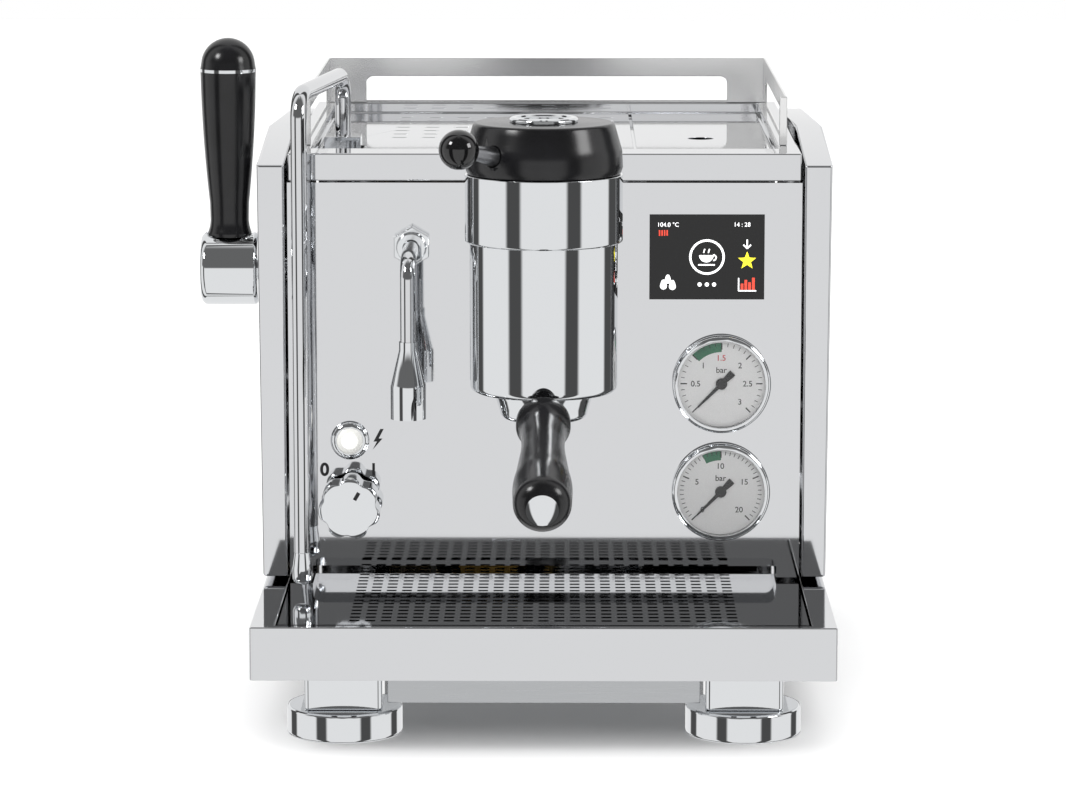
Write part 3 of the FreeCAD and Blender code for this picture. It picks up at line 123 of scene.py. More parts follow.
# ---------------------------------------------------------------- finishes
def polished_stainless():
    """Stainless steel sheet, belt-ground and then buffed to a mirror: it shows its surroundings
    sharply, with buffing haze in soft patches and the very slight waviness of thin sheet."""
    material, tree, shader, place = finish_of("buffed_304_stainless_sheet", "#DCDDDF", 0.04, 1.0)
    # Buffing haze comes in patches about 35 mm across.
    haze = add(tree, "ShaderNodeTexNoise", inputs={"Scale": 1 / (35 * MM), "Detail": 3.0},
               links={"Vector": place})
    vary_roughness(tree, shader, haze.outputs["Fac"], 0.025, 0.065)
    # Sheet waviness, about 120 mm from crest to crest and a few hundredths of a millimetre deep.
    wave = add(tree, "ShaderNodeTexNoise", inputs={"Scale": 1 / (120 * MM), "Detail": 0.0},
               links={"Vector": place})
    bump_from(tree, shader, wave.outputs["Fac"], 0.05 * MM)
    return material


def grained_stainless():
    """Cold-rolled stainless steel with its mill grain left on: greyer and duller than the buffed
    casing, with fine lines along the sheet. The real lines are 0.05 mm apart and are drawn at
    0.6 mm."""
    material, tree, shader, place = finish_of("cold_rolled_304_stainless", "#BFC1C3", 0.28, 1.0)
    stretch = add(tree, "ShaderNodeMapping", inputs={"Scale": (0.02, 1.0, 1.0)},
                  links={"Vector": place})
    grain = add(tree, "ShaderNodeTexNoise", inputs={"Scale": 1 / (0.6 * MM), "Detail": 4.0},
                links={"Vector": stretch.outputs[0]})
    vary_roughness(tree, shader, grain.outputs["Fac"], 0.22, 0.36)
    bump_from(tree, shader, grain.outputs["Fac"], 0.01 * MM)
    return material


def chrome_on_brass():
    """Bright nickel and chrome plating over polished brass castings: a cold, very sharp mirror with
    a faint orange peel from the plating, about 6 mm across."""
    material, tree, shader, place = finish_of("chrome_plated_brass", "#E4E6E8", 0.02, 1.0)
    peel = add(tree, "ShaderNodeTexNoise", inputs={"Scale": 1 / (6 * MM), "Detail": 1.0},
               links={"Vector": place})
    vary_roughness(tree, shader, peel.outputs["Fac"], 0.012, 0.035)
    bump_from(tree, shader, peel.outputs["Fac"], 0.0015 * MM)
    return material


def satin_black_nylon():
    """Glass-filled nylon, injection moulded with a fine spark texture and sprayed satin black: soft,
    broad highlights. The 0.1 mm texture is drawn at 0.5 mm."""
    material, tree, shader, place = finish_of("satin_black_moulded_nylon", "#0C0C0E", 0.2)
    grain = add(tree, "ShaderNodeTexNoise", inputs={"Scale": 1 / (0.5 * MM), "Detail": 3.0},
                links={"Vector": place})
    vary_roughness(tree, shader, grain.outputs["Fac"], 0.16, 0.27)
    bump_from(tree, shader, grain.outputs["Fac"], 0.004 * MM)
    # Handling leaves patches about 25 mm across a touch lighter.
    wear = add(tree, "ShaderNodeTexNoise", inputs={"Scale": 1 / (25 * MM), "Detail": 2.0},
               links={"Vector": place})
    vary_colour(tree, shader, wear.outputs["Fac"], "#0A0A0B", "#121214")
    return material


def gloss_black_phenolic():
    """Compression-moulded phenolic, tumbled to a gloss: jet black with one small sharp
    highlight."""
    material, tree, shader, place = finish_of(
        "tumbled_black_phenolic", "#070708", 0.08, Coat_Weight=0.4, Coat_Roughness=0.03)
    haze = add(tree, "ShaderNodeTexNoise", inputs={"Scale": 1 / (4 * MM), "Detail": 2.0},
               links={"Vector": place})
    vary_roughness(tree, shader, haze.outputs["Fac"], 0.05, 0.12)
    return material


def satin_stainless():
    """Stainless sheet with a satin rolled face: a soft light grey in which nothing is mirrored
    sharply, with the mill's grain 0.5 mm apart."""
    material, tree, shader, place = finish_of("satin_stainless", "#F2F2F2", 0.18, 1.0)
    grain = add(tree, "ShaderNodeTexNoise", inputs={"Scale": 1 / (0.5 * MM), "Detail": 2.0},
                links={"Vector": place})
    vary_roughness(tree, shader, grain.outputs["Fac"], 0.16, 0.20)
    return material


def turned_steel():
    """Free-cutting steel, turned and lightly blackened: an even grey sheen whose fine turning marks,
    0.4 mm apart, only soften its highlights."""
    material, tree, shader, place = finish_of("turned_blackened_steel", "#8A8B8E", 0.25, 1.0)
    marks = add(tree, "ShaderNodeTexNoise", inputs={"Scale": 1 / (0.4 * MM), "Detail": 2.0},
                links={"Vector": place})
    vary_roughness(tree, shader, marks.outputs["Fac"], 0.21, 0.29)
    return material


def dial_card():
    """Aluminium dial plate, stove-enamelled matt off-white: an even pale face with the barest
    grain."""
    material, tree, shader, place = finish_of("matt_white_enamel_dial", "#ECECEC", 0.55)
    grain = add(tree, "ShaderNodeTexNoise", inputs={"Scale": 1 / (0.4 * MM), "Detail": 2.0},
                links={"Vector": place})
    vary_colour(tree, shader, grain.outputs["Fac"], "#E9E9E9", "#F0F0F0")
    bump_from(tree, shader, grain.outputs["Fac"], 0.004 * MM)
    return material


def printing_ink(name, colour, glow=0.0):
    """Screen-printed ink: flat, dense, a little glossier at the film's thick places, 0.8 mm
    apart."""
    material, tree, shader, place = finish_of(name, colour, 0.45)
    film = add(tree, "ShaderNodeTexNoise", inputs={"Scale": 1 / (0.8 * MM), "Detail": 2.0},
               links={"Vector": place})
    vary_roughness(tree, shader, film.outputs["Fac"], 0.35, 0.55)
    if glow:
        shader.inputs["Emission Color"].default_value = linear(colour)
        shader.inputs["Emission Strength"].default_value = glow
    return material


def window_glass():
    """Float glass 1.4 mm thick over the dial: nearly invisible, with a faint reflection that grows
    at the edges. Light passes straight through, so the dial isn't shaded."""
    material = bpy.data.materials.new("clear_float_glass")
    material.use_nodes = True
    tree = material.node_tree
    tree.nodes.clear()
    clear = add(tree, "ShaderNodeBsdfTransparent", inputs={"Color": linear("#FEFEFE")})
    gloss = add(tree, "ShaderNodeBsdfGlossy", inputs={"Roughness": 0.02})
    edge = add(tree, "ShaderNodeFresnel", inputs={"IOR": 1.45})
    mixed = add(tree, "ShaderNodeMixShader", links={0: edge.outputs[0], 1: clear.outputs[0],
                                                    2: gloss.outputs[0]})
    add(tree, "ShaderNodeOutputMaterial", links={"Surface": mixed.outputs[0]})
    return material


def display_cover():
    """Black-printed cover glass, bonded to the display: a deep black that reflects a little."""
    material, tree, shader, place = finish_of("black_backed_cover_glass", "#050506", 0.05)
    smear = add(tree, "ShaderNodeTexNoise", inputs={"Scale": 1 / (18 * MM), "Detail": 3.0},
                links={"Vector": place})
    vary_roughness(tree, shader, smear.outputs["Fac"], 0.04, 0.12)
    return material


def opal_lens():
    """Opal polycarbonate lit from behind by a white lamp: glows, brightest in the middle."""
    material, tree, shader, place = finish_of("opal_polycarbonate_lit", "#D0D0CC", 0.25)
    low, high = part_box("lamp_lens")
    middle = (low + high) / 2
    apart = add(tree, "ShaderNodeVectorMath", {"operation": "DISTANCE"}, {1: middle},
                {0: place})
    # The bulb lights a disc 5 mm in radius; the rim of the lens stays dimmer.
    glow = add(tree, "ShaderNodeMapRange", {"interpolation_type": "SMOOTHSTEP"},
               {"From Min": 3.8 * MM, "From Max": 6.2 * MM, "To Min": 1.3, "To Max": 0.15},
               {"Value": apart.outputs["Value"]})
    tree.links.new(glow.outputs[0], shader.inputs["Emission Strength"])
    shader.inputs["Emission Color"].default_value = linear("#FFFEFA")
    return material


def moulded_black_abs():
    """ABS housings with an eroded texture about 0.7 mm across: dull black."""
    material, tree, shader, place = finish_of("textured_black_abs", "#18181A", 0.6)
    grain = add(tree, "ShaderNodeTexNoise", inputs={"Scale": 1 / (0.7 * MM), "Detail": 3.0},
                links={"Vector": place})
    bump_from(tree, shader, grain.outputs["Fac"], 0.03 * MM)
    vary_roughness(tree, shader, grain.outputs["Fac"], 0.5, 0.7)
    return material


def tank_polycarbonate():
    """Smoke-tinted polycarbonate tank, blow moulded: translucent grey-blue with slight flow
    marks."""
    material, tree, shader, place = finish_of("smoked_polycarbonate", "#8C98A2", 0.12,
                                              Transmission_Weight=0.6)
    flow = add(tree, "ShaderNodeTexNoise", inputs={"Scale": 1 / (30 * MM), "Detail": 2.0},
               links={"Vector": place})
    vary_roughness(tree, shader, flow.outputs["Fac"], 0.08, 0.2)
    return material


def welded_boiler():
    """Stainless boiler, pickled after welding: pale matt grey with straw-coloured heat tint in
    patches about 50 mm across."""
    material, tree, shader, place = finish_of("pickled_stainless_boiler", "#B7B2A8", 0.38, 1.0)
    tint = add(tree, "ShaderNodeTexNoise", inputs={"Scale": 1 / (50 * MM), "Detail": 4.0},
               links={"Vector": place})
    vary_colour(tree, shader, tint.outputs["Fac"], "#C3C1BC", "#B39C72")
    vary_roughness(tree, shader, tint.outputs["Fac"], 0.3, 0.48)
    return material


def enamelled_motor():
    """Black stoving enamel on a cast motor housing: an orange-peel gloss, 3 mm across."""
    material, tree, shader, place = finish_of("black_stoving_enamel", "#1B1C1E", 0.35)
    peel = add(tree, "ShaderNodeTexNoise", inputs={"Scale": 1 / (3 * MM), "Detail": 1.0},
               links={"Vector": place})
    bump_from(tree, shader, peel.outputs["Fac"], 0.05 * MM)
    return material


def machined_brass():
    """Hot-pressed brass, machined on its faces: warm yellow with 1 mm tool marks."""
    material, tree, shader, place = finish_of("machined_cz121_brass", "#C9A255", 0.3, 1.0)
    marks = add(tree, "ShaderNodeTexNoise", inputs={"Scale": 1 / (1 * MM), "Detail": 2.0},
                links={"Vector": place})
    vary_roughness(tree, shader, marks.outputs["Fac"], 0.22, 0.4)
    vary_colour(tree, shader, marks.outputs["Fac"], "#C09748", "#D4AF66")
    return material


def nitrile_rubber():
    """Moulded nitrile seal: matt black with a dry bloom in patches 8 mm across."""
    material, tree, shader, place = finish_of("black_nitrile_rubber", "#1A1A1A", 0.75)
    bloom = add(tree, "ShaderNodeTexNoise", inputs={"Scale": 1 / (8 * MM), "Detail": 3.0},
                links={"Vector": place})
    vary_colour(tree, shader, bloom.outputs["Fac"], "#161616", "#262524")
    return material


FINISH = {
    "polished_steel": polished_stainless(),
    "chassis_steel": grained_stainless(),
    "chrome_plate": chrome_on_brass(),
    "steel_basket": grained_stainless(),
    "satin_black": satin_black_nylon(),
    "gloss_black": gloss_black_phenolic(),
    "steel_stem": turned_steel(),
    "dial_face": dial_card(),
    "needle_black": printing_ink("matt_black_needle_paint", "#1D1D1F"),
    "clear_lens": window_glass(),
    "display_glass": display_cover(),
    "lamp_white": opal_lens(),
    "black_moulding": moulded_black_abs(),
    "tank_plastic": tank_polycarbonate(),
    "boiler_metal": welded_boiler(),
    "motor_paint": enamelled_motor(),
    "pump_brass": machined_brass(),
    "gasket_rubber": nitrile_rubber(),
}
BLACK_INK = printing_ink("black_screen_ink", "#161618")
RED_INK = printing_ink("red_screen_ink", "#C8202A")
GREEN_INK = printing_ink("green_screen_ink", "#1F7350")
WHITE_SYMBOLS = printing_ink("lit_white_symbols", "#F4F5F6", 0.9)
YELLOW_SYMBOLS = printing_ink("lit_yellow_symbols", "#F2E42A", 0.8)
RED_SYMBOLS = printing_ink("lit_red_symbols", "#D2402E", 0.7)


# ---------------------------------------------------------------- carrying CAD pieces over
# Edge radius in millimetres that each kind of piece gets from its making: folded and deburred sheet,
# buffed castings, moulded handles. Pieces not named here keep the edges that they have.
EDGE_RADIUS = {
    "left_side_panel": 1.6, "right_side_panel": 1.6, "back_panel": 0.5,
    "top_frame": 1.0, "cup_rail": 0.5, "tank_lid": 0.4, "cup_tray": 0.3, "drip_tray": 1.0,
    "base_pan": 0.6, "legs": 1.4, "feet": 1.2, "group_upper_ring": 0.5, "group_cap": 0.6,
    "cap_badge": 0.5, "portafilter_body": 0.5, "spout_nut": 0.6, "steam_hub": 1.0,
    "wand_base": 0.5, "power_inlet": 0.4, "wand_tip": 0.3,
}
SMOOTH_BELOW = math.radians(32)


# The cup rail is the same steel as the casing, left with a satin rolled face.
OWN_FINISH = {"cup_rail": satin_stainless()}


def carry_over(node):
    """A welded copy of a CAD node, smooth where faces meet at under 32 degrees, with its real edge
    radius. It stands for the node, on the node's own body and with its slot's finish."""
    source = NODES[node].data
    points = np.zeros(len(source.vertices) * 3)
    source.vertices.foreach_get("co", points)
    faces = [list(face.vertices) for face in source.polygons]
    mesh = bpy.data.meshes.new(node + "_finished")
    mesh.from_pydata(points.reshape(-1, 3).tolist(), [], faces)
    work = bmesh.new()
    work.from_mesh(mesh)
    bmesh.ops.remove_doubles(work, verts=work.verts, dist=0.002 * MM)
    bmesh.ops.dissolve_degenerate(work, edges=work.edges, dist=0.002 * MM)
    bmesh.ops.dissolve_limit(work, angle_limit=math.radians(0.05), verts=work.verts,
                             edges=work.edges)
    work.to_mesh(mesh)
    work.free()
    mesh.materials.append(OWN_FINISH.get(node, FINISH[SLOT_OF[node]]))
    mesh.shade_smooth()
    mesh.set_sharp_from_angle(angle=SMOOTH_BELOW)
    piece = bpy.data.objects.new(node + "_finished", mesh)
    bpy.context.scene.collection.objects.link(piece)
    if node in EDGE_RADIUS:
        rounding = piece.modifiers.new("edge_radius", "BEVEL")
        rounding.width = EDGE_RADIUS[node] * MM
        rounding.segments = 3
        rounding.limit_method = "ANGLE"
        rounding.angle_limit = math.radians(35)
        rounding.use_clamp_overlap = False
        rounding.harden_normals = True
    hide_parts(node)
    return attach(piece, BODY_OF[node])


MODELLED_HERE = {"power_knob"}
for node in NODES:
    if node not in MODELLED_HERE:
        carry_over(node)


def fluted_knob():
    """Cast knob with seven flutes. Around the axis its radius at angle t is the smooth minimum of
    the turned profile R(y) and the lobes L(t) = 20.5 - 3.6 (0.5 + 0.5 cos 7(t - 60 deg))^1.4 mm:
    r = (R^-n + L^-n)^(-1/n) with n = 30. R(y) ends in a quarter round of 3.5 mm at the front."""
    low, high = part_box("power_knob")
    back, front = high.y / MM, low.y / MM
    rounding = np.radians(np.linspace(0, 90, 13))
    lip = np.column_stack([17 + 3.5 * np.cos(rounding),
                           front + 3.5 - 3.5 * np.sin(rounding)])
    # Rows of (radius, y): the blind bore for the shaft, the back, the rim and the front face.
    rows = np.vstack([[(0.01, back - 10), (3.2, back - 10), (3.2, back), (12, back), (17.5, back),
                       (19, back - 1.2), (20.2, back - 3.4), (20.5, back - 5)], lip,
                      [(16.2, front), (15, front), (8, front), (0.01, front)]])
    steps = 7 * 30
    turn = np.linspace(0, 2 * np.pi, steps, endpoint=False)
    lobes = 20.5 - 3.6 * (0.5 + 0.5 * np.cos(7 * (turn - np.radians(60)))) ** 1.4
    radius = (rows[:, :1] ** -30.0 + lobes[None, :] ** -30.0) ** (-1 / 30)
    middle = (low + high) / 2
    points = np.stack([middle.x + radius * np.cos(turn) * MM,
                       np.repeat(rows[:, 1:], steps, axis=1) * MM,
                       middle.z + radius * np.sin(turn) * MM], axis=2).reshape(-1, 3)
    here = np.arange(len(rows) * steps).reshape(len(rows), steps)
    after = np.roll(here, -1, axis=1)
    faces = np.stack([here[:-1], here[1:], after[1:], after[:-1]], axis=2).reshape(-1, 4)
    mesh = bpy.data.meshes.new("power_knob_cast")
    mesh.from_pydata(points.tolist(), [], faces.tolist())
    mesh.materials.append(FINISH[SLOT_OF["power_knob"]])
    mesh.shade_smooth()
    mesh.set_sharp_from_angle(angle=math.radians(40))
    knob = bpy.data.objects.new("power_knob_cast", mesh)
    bpy.context.scene.collection.objects.link(knob)
    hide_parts("power_knob")
    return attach(knob, BODY_OF["power_knob"])


fluted_knob()


# ---------------------------------------------------------------- flat marks and small solids
def flat_piece(name, parts, finish, body, front):
    """One mesh of flat shapes that face -Y. Each part is (points, faces): points are (across, up)
    rows in metres, and the shape lies at depth y = front."""
    starts = np.cumsum([0] + [len(points) for points, faces in parts])
    plane = np.vstack([points for points, faces in parts])
    vertices = np.column_stack([plane[:, 0], np.full(len(plane), front), plane[:, 1]])
    faces = [[int(corner + start) for corner in face]
             for start, (points, own) in zip(starts, parts) for face in own]
    mesh = bpy.data.meshes.new(name)
    mesh.from_pydata(vertices.tolist(), [], faces)
    mesh.materials.append(finish)
    piece = bpy.data.objects.new(name, mesh)
    bpy.context.scene.collection.objects.link(piece)
    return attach(piece, body)


def polygon(points):
    """A filled outline: one face through the points in their order."""
    return np.array(points, float), [list(range(len(points)))]


def bar(start, end, width):
    """A straight mark from start to end: four corners at half the width on each side of its
    line."""
    start = np.array(start, float)
    end = np.array(end, float)
    along = (end - start) / np.linalg.norm(end - start)
    side = np.array([-along[1], along[0]]) * width / 2
    return polygon([start - side, end - side, end + side, start + side])


def arc_band(centre, inner, outer, first, last, steps=24):
    """A piece of a flat ring: points centre + r (cos t, sin t) for r = inner and outer, with t from
    first to last in degrees."""
    turn = np.radians(np.linspace(first, last, steps + 1))
    rim = np.column_stack([np.cos(turn), np.sin(turn)])
    points = np.vstack([np.array(centre) + rim * inner, np.array(centre) + rim * outer])
    count = steps + 1
    return points, [[i, i + 1, count + i + 1, count + i] for i in range(steps)]


def disc(centre, radius, steps=28):
    """A filled circle: centre + radius (cos t, sin t)."""
    turn = np.linspace(0, 2 * np.pi, steps, endpoint=False)
    return polygon(np.array(centre) + radius * np.column_stack([np.cos(turn), np.sin(turn)]))


def lettering(words, centre, height, weight=0.015, spread=1.0):
    """Flat shapes of generic letters or numbers, centred on a point, with capitals of that height.
    Their strokes are thickened on each side by weight times the height."""
    curve = bpy.data.curves.new("lettering", "FONT")
    curve.body = words
    curve.align_x = "CENTER"
    curve.align_y = "CENTER"
    curve.size = height / 0.72
    curve.offset = weight * height
    curve.space_character = spread
    source = bpy.data.objects.new("lettering", curve)
    bpy.context.scene.collection.objects.link(source)
    drawn = bpy.data.meshes.new_from_object(source)
    bpy.data.objects.remove(source)
    points = np.zeros(len(drawn.vertices) * 3)
    drawn.vertices.foreach_get("co", points)
    faces = [list(face.vertices) for face in drawn.polygons]
    points = points.reshape(-1, 3)[:, :2]
    middle = (points.min(0) + points.max(0)) / 2
    return points - middle + np.array(centre), faces


def centre_of(node):
    """Middle of a CAD node's box."""
    low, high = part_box(node)
    return (low + high) / 2


# ---------------------------------------------------------------- gauges
def dress_gauge(prefix, top_value, labels, minor_steps, major_every, green):
    """Scale of one gauge: the value v stands at 225 - 270 v / top_value degrees, counted from the
    right. Ticks run inwards from 26.4 mm, the numbers stand at 17.5 mm."""
    middle = centre_of(prefix + "_gauge_dial")
    centre = np.array([middle.x, middle.z])
    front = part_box(prefix + "_gauge_dial")[0].y - 0.04 * MM

    def angle(value):
        """Degrees at which the value stands on the dial."""
        return 225 - 270 * value / top_value

    def at(value, radius):
        """Point on the dial at a value and a radius."""
        turn = math.radians(angle(value))
        return centre + radius * np.array([math.cos(turn), math.sin(turn)])

    marks = []
    for step in range(minor_steps + 1):
        value = top_value * step / minor_steps
        major = step % major_every == 0
        marks.append(bar(at(value, (22.0 if major else 23.8) * MM), at(value, 26.2 * MM),
                         (0.8 if major else 0.42) * MM))
    marks += [lettering(text, at(value, 16.6 * MM), 3.7 * MM) for value, text, ink in labels
              if ink == "black"]
    marks.append(lettering("bar", centre + np.array([0, 8.8 * MM]), 3.8 * MM))
    flat_piece(prefix + "_dial_scale", marks, BLACK_INK, "machine", front)
    zone = [arc_band(centre, 20.4 * MM, 26.4 * MM, angle(green[1]), angle(green[0]))]
    flat_piece(prefix + "_dial_zone", zone, GREEN_INK, "machine", front + 0.01 * MM)
    red = [lettering(text, at(value, 16.6 * MM), 3.7 * MM) for value, text, ink in labels
           if ink == "red"]
    if red:
        flat_piece(prefix + "_dial_red", red, RED_INK, "machine", front)


dress_gauge("steam", 3, [(0.5, "0.5", "black"), (1, "1", "black"), (1.5, "1.5", "red"),
                         (2, "2", "black"), (2.5, "2.5", "black"), (3, "3", "black")],
            30, 5, (1.0, 1.5))
dress_gauge("brew", 20, [(0, "0", "black"), (5, "5", "black"), (10, "10", "black"),
                         (15, "15", "black"), (20, "20", "black")],
            40, 10, (8.0, 10.0))


# ---------------------------------------------------------------- display
def dress_display():
    """Lit symbols on the display: temperatures and clock along the top, a cup in a ring in the
    middle, a star under an arrow, drops, a small bar chart and three dots."""
    middle = centre_of("screen_glass")
    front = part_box("screen_glass")[0].y - 0.05 * MM
    centre = np.array([middle.x, middle.z])

    def at(across, up):
        """Point on the glass in millimetres from its middle."""
        return centre + np.array([across, up]) * MM

    def drop(across, up, size):
        """A drop: a circle whose top is drawn up to a point,
        r = size (1 + 0.9 max(sin t, 0) ** 6)."""
        turn = np.linspace(0, 2 * np.pi, 28, endpoint=False)
        radius = size * MM * (1 + 0.9 * np.maximum(np.sin(turn), 0) ** 6)
        rim = np.column_stack([np.cos(turn), np.sin(turn)])
        return polygon(at(across, up) + rim * radius[:, None])

    def star(across, up, size):
        """Five-pointed star: radius size at even corners and 0.42 size at odd ones."""
        turn = np.pi / 2 + np.arange(10) * np.pi / 5
        radius = np.where(np.arange(10) % 2 == 0, size, 0.42 * size) * MM
        return polygon(at(across, up) + np.column_stack([np.cos(turn), np.sin(turn)])
                       * radius[:, None])

    cup = [
        arc_band(at(-0.4, 1.2), 0.01 * MM, 4.6 * MM, 180, 360),
        arc_band(at(4.0, -0.4), 1.3 * MM, 2.2 * MM, -90, 90, 12),
        bar(at(-5.6, -5.0), at(5.0, -5.0), 0.9 * MM),
        bar(at(-2.2, 2.6), at(-1.4, 5.2), 0.8 * MM),
        bar(at(0.8, 2.6), at(1.6, 5.2), 0.8 * MM),
    ]
    white = cup + [
        arc_band(at(0, 0), 9.9 * MM, 11.3 * MM, 0, 360, 64),
        lettering("104.0 °C", at(-24.5, 20.8), 2.8 * MM, 0.0),
        lettering("14 : 28", at(22.5, 20.8), 2.8 * MM, 0.0),
        bar(at(25.5, 11.2), at(25.5, 6.2), 0.9 * MM),
        bar(at(23.1, 7.9), at(25.5, 5.5), 0.9 * MM),
        bar(at(27.9, 7.9), at(25.5, 5.5), 0.9 * MM),
        drop(-27.6, -18.6, 2.2), drop(-21.9, -18.9, 2.2), drop(-24.8, -15.0, 2.0),
        disc(at(-4.6, -17.6), 1.3 * MM),
        disc(at(0, -17.6), 1.3 * MM),
        disc(at(4.6, -17.6), 1.3 * MM),
        bar(at(20.0, -21.6), at(31.4, -21.6), 0.8 * MM),
        bar(at(20.2, -21.6), at(20.2, -13.4), 0.8 * MM),
    ]
    flat_piece("display_white_symbols", white, WHITE_SYMBOLS, "machine", front)
    flat_piece("display_star", [star(25.5, -2.4, 6.0)], YELLOW_SYMBOLS, "machine", front)
    red = [bar(at(x, -21.0), at(x, top), 1.7 * MM)
           for x, top in ((22.4, -17.0), (24.8, -14.6), (27.2, -16.2), (29.6, -13.2))]
    red += [bar(at(x, 13.6), at(x, 17.2), 0.9 * MM) for x in (-30.2, -28.6, -27.0, -25.4)]
    flat_piece("display_red_symbols", red, RED_SYMBOLS, "machine", front)


dress_display()


# ---------------------------------------------------------------- marks on the panel and the knob
def mark_panel():
    """Printed marks by the lamp and the knob: a lightning flash, a nought and an upright stroke, and
    the pointer dash on the knob's face, 60 degrees round from +X."""
    lamp = centre_of("lamp_bezel")
    knob = centre_of("power_knob")
    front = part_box("front_panel")[0].y

    def at(origin, across, up):
        """Point on the panel in millimetres from a piece's middle."""
        return np.array([origin.x, origin.z]) + np.array([across, up]) * MM

    flash = polygon([at(lamp, 19.4, 7.2), at(lamp, 15.0, -1.0), at(lamp, 17.2, -1.0),
                     at(lamp, 14.4, -6.4), at(lamp, 20.8, 1.0), at(lamp, 18.4, 1.0),
                     at(lamp, 21.6, 7.2)])
    marks = [
        flash,
        lettering("0", at(knob, -17.1, 20.1), 8.2 * MM, 0.05),
        bar(at(knob, 14.3, 16.0), at(knob, 14.3, 24.2), 1.7 * MM),
    ]
    flat_piece("panel_marks", marks, BLACK_INK, "machine", front - 0.04 * MM)
    pointer = np.array([math.cos(math.radians(60)), math.sin(math.radians(60))])
    middle = at(knob, 0.0, 0.0)
    dash = bar(middle + 7.0 * MM * pointer, middle + 12.5 * MM * pointer, 2.4 * MM)
    flat_piece("knob_pointer_dash", [dash], BLACK_INK, "power_switch",
               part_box("power_knob")[0].y - 0.04 * MM)


mark_panel()


# ---------------------------------------------------------------- folded corner of the deck
def deck_corner(radius=2.6 * MM, steps=8):
    """Rounded inside corner where the recess wall meets the deck, behind and at both sides. In
    section it is a hollow quarter round, out = radius (1 - sin t), up = radius (1 - cos t), with t
    from 0 to 90 degrees; it is carried round three sides of the recess with mitred corners."""
    deck_low, deck_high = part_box("cup_tray")
    lid_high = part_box("tank_lid")[1]
    left, right = deck_low.x - 1.5 * MM, lid_high.x + 1.5 * MM
    near, far = deck_low.y, deck_high.y + 1.5 * MM
    turn = np.linspace(0, np.pi / 2, steps + 1)
    out = radius * (1 - np.sin(turn))
    up = deck_high.z + radius * (1 - np.cos(turn))
    rows = [np.column_stack([left + out, np.full(steps + 1, near), up]),
            np.column_stack([left + out, far - out, up]),
            np.column_stack([right - out, far - out, up]),
            np.column_stack([right - out, np.full(steps + 1, near), up])]
    across = steps + 1
    faces = [[r * across + i, r * across + i + 1, (r + 1) * across + i + 1, (r + 1) * across + i]
             for r in range(len(rows) - 1) for i in range(steps)]
    mesh = bpy.data.meshes.new("deck_rounded_corner")
    mesh.from_pydata(np.vstack(rows).tolist(), [], faces)
    mesh.materials.append(FINISH["polished_steel"])
    mesh.shade_smooth()
    mesh.set_sharp_from_angle(angle=SMOOTH_BELOW)
    piece = bpy.data.objects.new("deck_rounded_corner", mesh)
    bpy.context.scene.collection.objects.link(piece)
    wall = piece.modifiers.new("sheet_thickness", "SOLIDIFY")
    wall.thickness = 0.4 * MM
    wall.offset = -1.0
    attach(piece, "machine")


deck_corner()


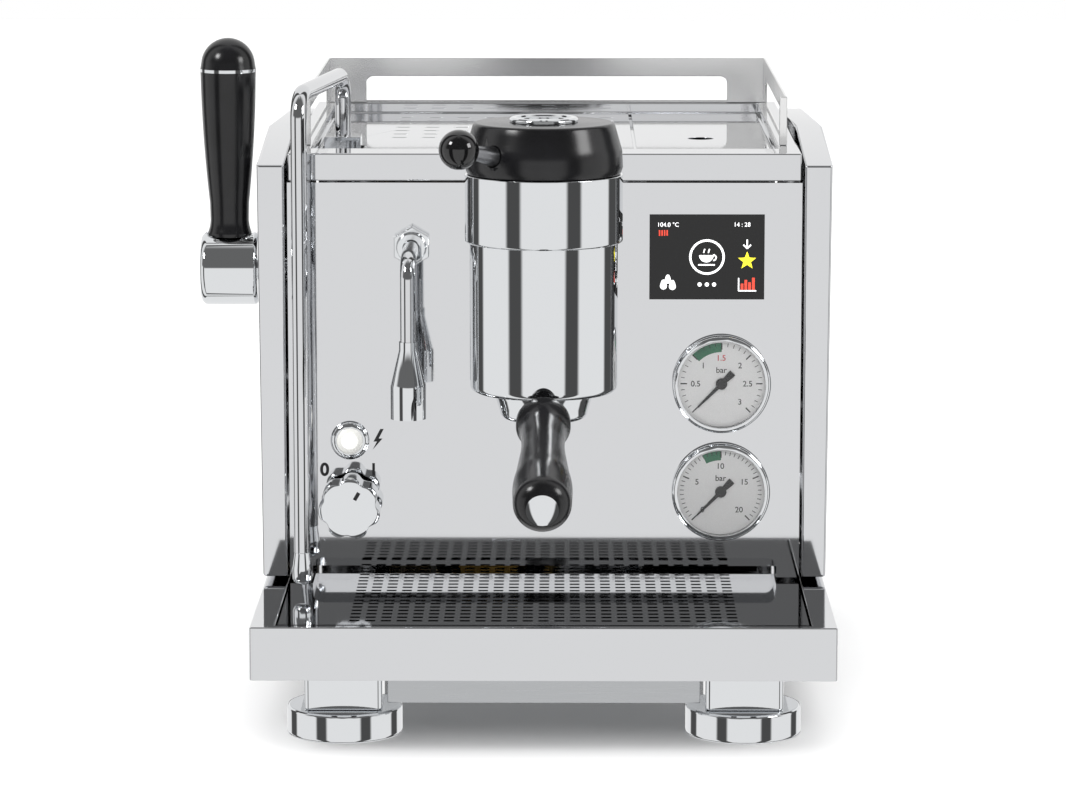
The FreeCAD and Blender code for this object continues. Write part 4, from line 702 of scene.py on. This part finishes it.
# ---------------------------------------------------------------- studio
def studio_light():
    """Plain white studio, the same on its left and right. Two soft black flags stand at each side,
    at 45 and 120 degrees from -Y, so that polished round parts show where they turn away.
    Brightness is 0.92, falling to 0.08 inside a flag, which is 16 degrees wide with edges 6 degrees
    soft. Above the viewer it falls to an even dim ceiling."""
    world = bpy.data.worlds.new("studio")
    bpy.context.scene.world = world
    world.use_nodes = True
    tree = world.node_tree
    tree.nodes.clear()
    ray = add(tree, "ShaderNodeSeparateXYZ",
              links={"Vector": add(tree, "ShaderNodeTexCoord").outputs["Generated"]})
    ahead = add(tree, "ShaderNodeMath", {"operation": "MULTIPLY"}, {1: -1.0},
                {0: ray.outputs["Y"]})
    azimuth = add(tree, "ShaderNodeMath", {"operation": "ARCTAN2"},
                  links={0: ray.outputs["X"], 1: ahead.outputs[0]})
    aside = add(tree, "ShaderNodeMath", {"operation": "ABSOLUTE"}, links={0: azimuth.outputs[0]})
    half_width, soft_edge, white, flag_grey = math.radians(8), math.radians(6), 0.92, 0.08
    flags = []
    for direction in (45, 120):
        offset = add(tree, "ShaderNodeMath", {"operation": "SUBTRACT"},
                     {1: math.radians(direction)}, {0: aside.outputs[0]})
        away = add(tree, "ShaderNodeMath", {"operation": "ABSOLUTE"}, links={0: offset.outputs[0]})
        flags.append(add(tree, "ShaderNodeMapRange", {"interpolation_type": "SMOOTHSTEP"},
                         {"From Min": half_width, "From Max": half_width + soft_edge,
                          "To Min": flag_grey, "To Max": white}, {"Value": away.outputs[0]}))
    grey = add(tree, "ShaderNodeMath", {"operation": "MINIMUM"},
               links={0: flags[0].outputs[0], 1: flags[1].outputs[0]})
    # The ceiling is dim only on the viewer's side; behind the machine the studio stays white.
    front_side = add(tree, "ShaderNodeMapRange", {"interpolation_type": "SMOOTHSTEP"},
                     {"From Min": 0.0, "From Max": 0.35}, {"Value": ahead.outputs[0]})
    high = add(tree, "ShaderNodeMapRange", {"interpolation_type": "SMOOTHSTEP"},
               {"From Min": 0.08, "From Max": 0.16}, {"Value": ray.outputs["Z"]})
    ceiling = add(tree, "ShaderNodeMath", {"operation": "MULTIPLY"},
                  links={0: front_side.outputs[0], 1: high.outputs[0]})
    shade = add(tree, "ShaderNodeMix", {"data_type": "FLOAT"}, {"B": 0.15},
                {"Factor": ceiling.outputs[0], "A": grey.outputs[0]})
    light = add(tree, "ShaderNodeBackground", inputs={"Strength": 1.0},
                links={"Color": shade.outputs["Result"]})
    # What the camera sees directly is the white backdrop.
    backdrop = add(tree, "ShaderNodeBackground", inputs={"Color": (1, 1, 1, 1), "Strength": 1.0})
    path = add(tree, "ShaderNodeLightPath")
    chosen = add(tree, "ShaderNodeMixShader", links={0: path.outputs["Is Camera Ray"],
                                                     1: light.outputs[0], 2: backdrop.outputs[0]})
    add(tree, "ShaderNodeOutputWorld", links={"Surface": chosen.outputs[0]})


def softbox(name, place, target, size, power, seen=False):
    """A square area lamp that faces the target. Polished faces show it only if it is seen."""
    lamp = bpy.data.lights.new(name, "AREA")
    lamp.size = size
    lamp.energy = power
    box = bpy.data.objects.new(name, lamp)
    box.location = place
    box.rotation_euler = (Vector(target) - Vector(place)).to_track_quat("-Z", "Y").to_euler()
    box.visible_camera = False
    box.visible_glossy = seen
    bpy.context.scene.collection.objects.link(box)


def bounced_light():
    """Even light from the white ceiling and walls round the machine: soft shadows only."""
    lamp = bpy.data.lights.new("bounced_light", "SUN")
    lamp.energy = 2.6
    lamp.angle = math.radians(100)
    source = bpy.data.objects.new("bounced_light", lamp)
    source.rotation_euler = (math.radians(12), math.radians(-8), 0)
    source.visible_glossy = False
    bpy.context.scene.collection.objects.link(source)


def studio_floor():
    """A pale matt floor, a square sheet 12 m on a side at z = 0."""
    mesh = bpy.data.meshes.new("studio_floor")
    half = 6.0
    mesh.from_pydata([(-half, -half, 0), (half, -half, 0), (half, half, 0), (-half, half, 0)], [],
                     [(0, 1, 2, 3)])
    material, tree, shader, place = finish_of("matt_white_card", "#F2F2F2", 0.8)
    fleck = add(tree, "ShaderNodeTexNoise", inputs={"Scale": 1 / (400 * MM)},
                links={"Vector": place})
    vary_colour(tree, shader, fleck.outputs["Fac"], "#F0F0F0", "#F4F4F4")
    mesh.materials.append(material)
    floor = bpy.data.objects.new("studio_floor", mesh)
    bpy.context.scene.collection.objects.link(floor)
    floor.visible_glossy = False


def set_camera():
    """A long lens a little to the right of the middle, looking slightly down at the machine."""
    lens = bpy.data.cameras.new("studio_camera")
    lens.lens = 147.14
    lens.sensor_width = 36.0
    lens.clip_end = 100.0
    camera = bpy.data.objects.new("studio_camera", lens)
    camera.location = (0.0306, -2.78486, 0.6439)
    camera.rotation_euler = (math.radians(80.834), 0.0, math.radians(0.404))
    bpy.context.scene.collection.objects.link(camera)
    bpy.context.scene.camera = camera


studio_light()
studio_floor()
bounced_light()
softbox("front_softbox", (0.5, -2.4, 1.9), (0, 0, 0.2), 1.6, 30)
softbox("left_window", (-1.5, -1.1, 1.7), (0, -0.1, 0.35), 0.55, 16, seen=True)
softbox("right_window", (1.7, -0.9, 1.2), (0, -0.1, 0.35), 0.7, 12, seen=True)
set_camera()
bpy.context.scene.view_settings.view_transform = "Standard"
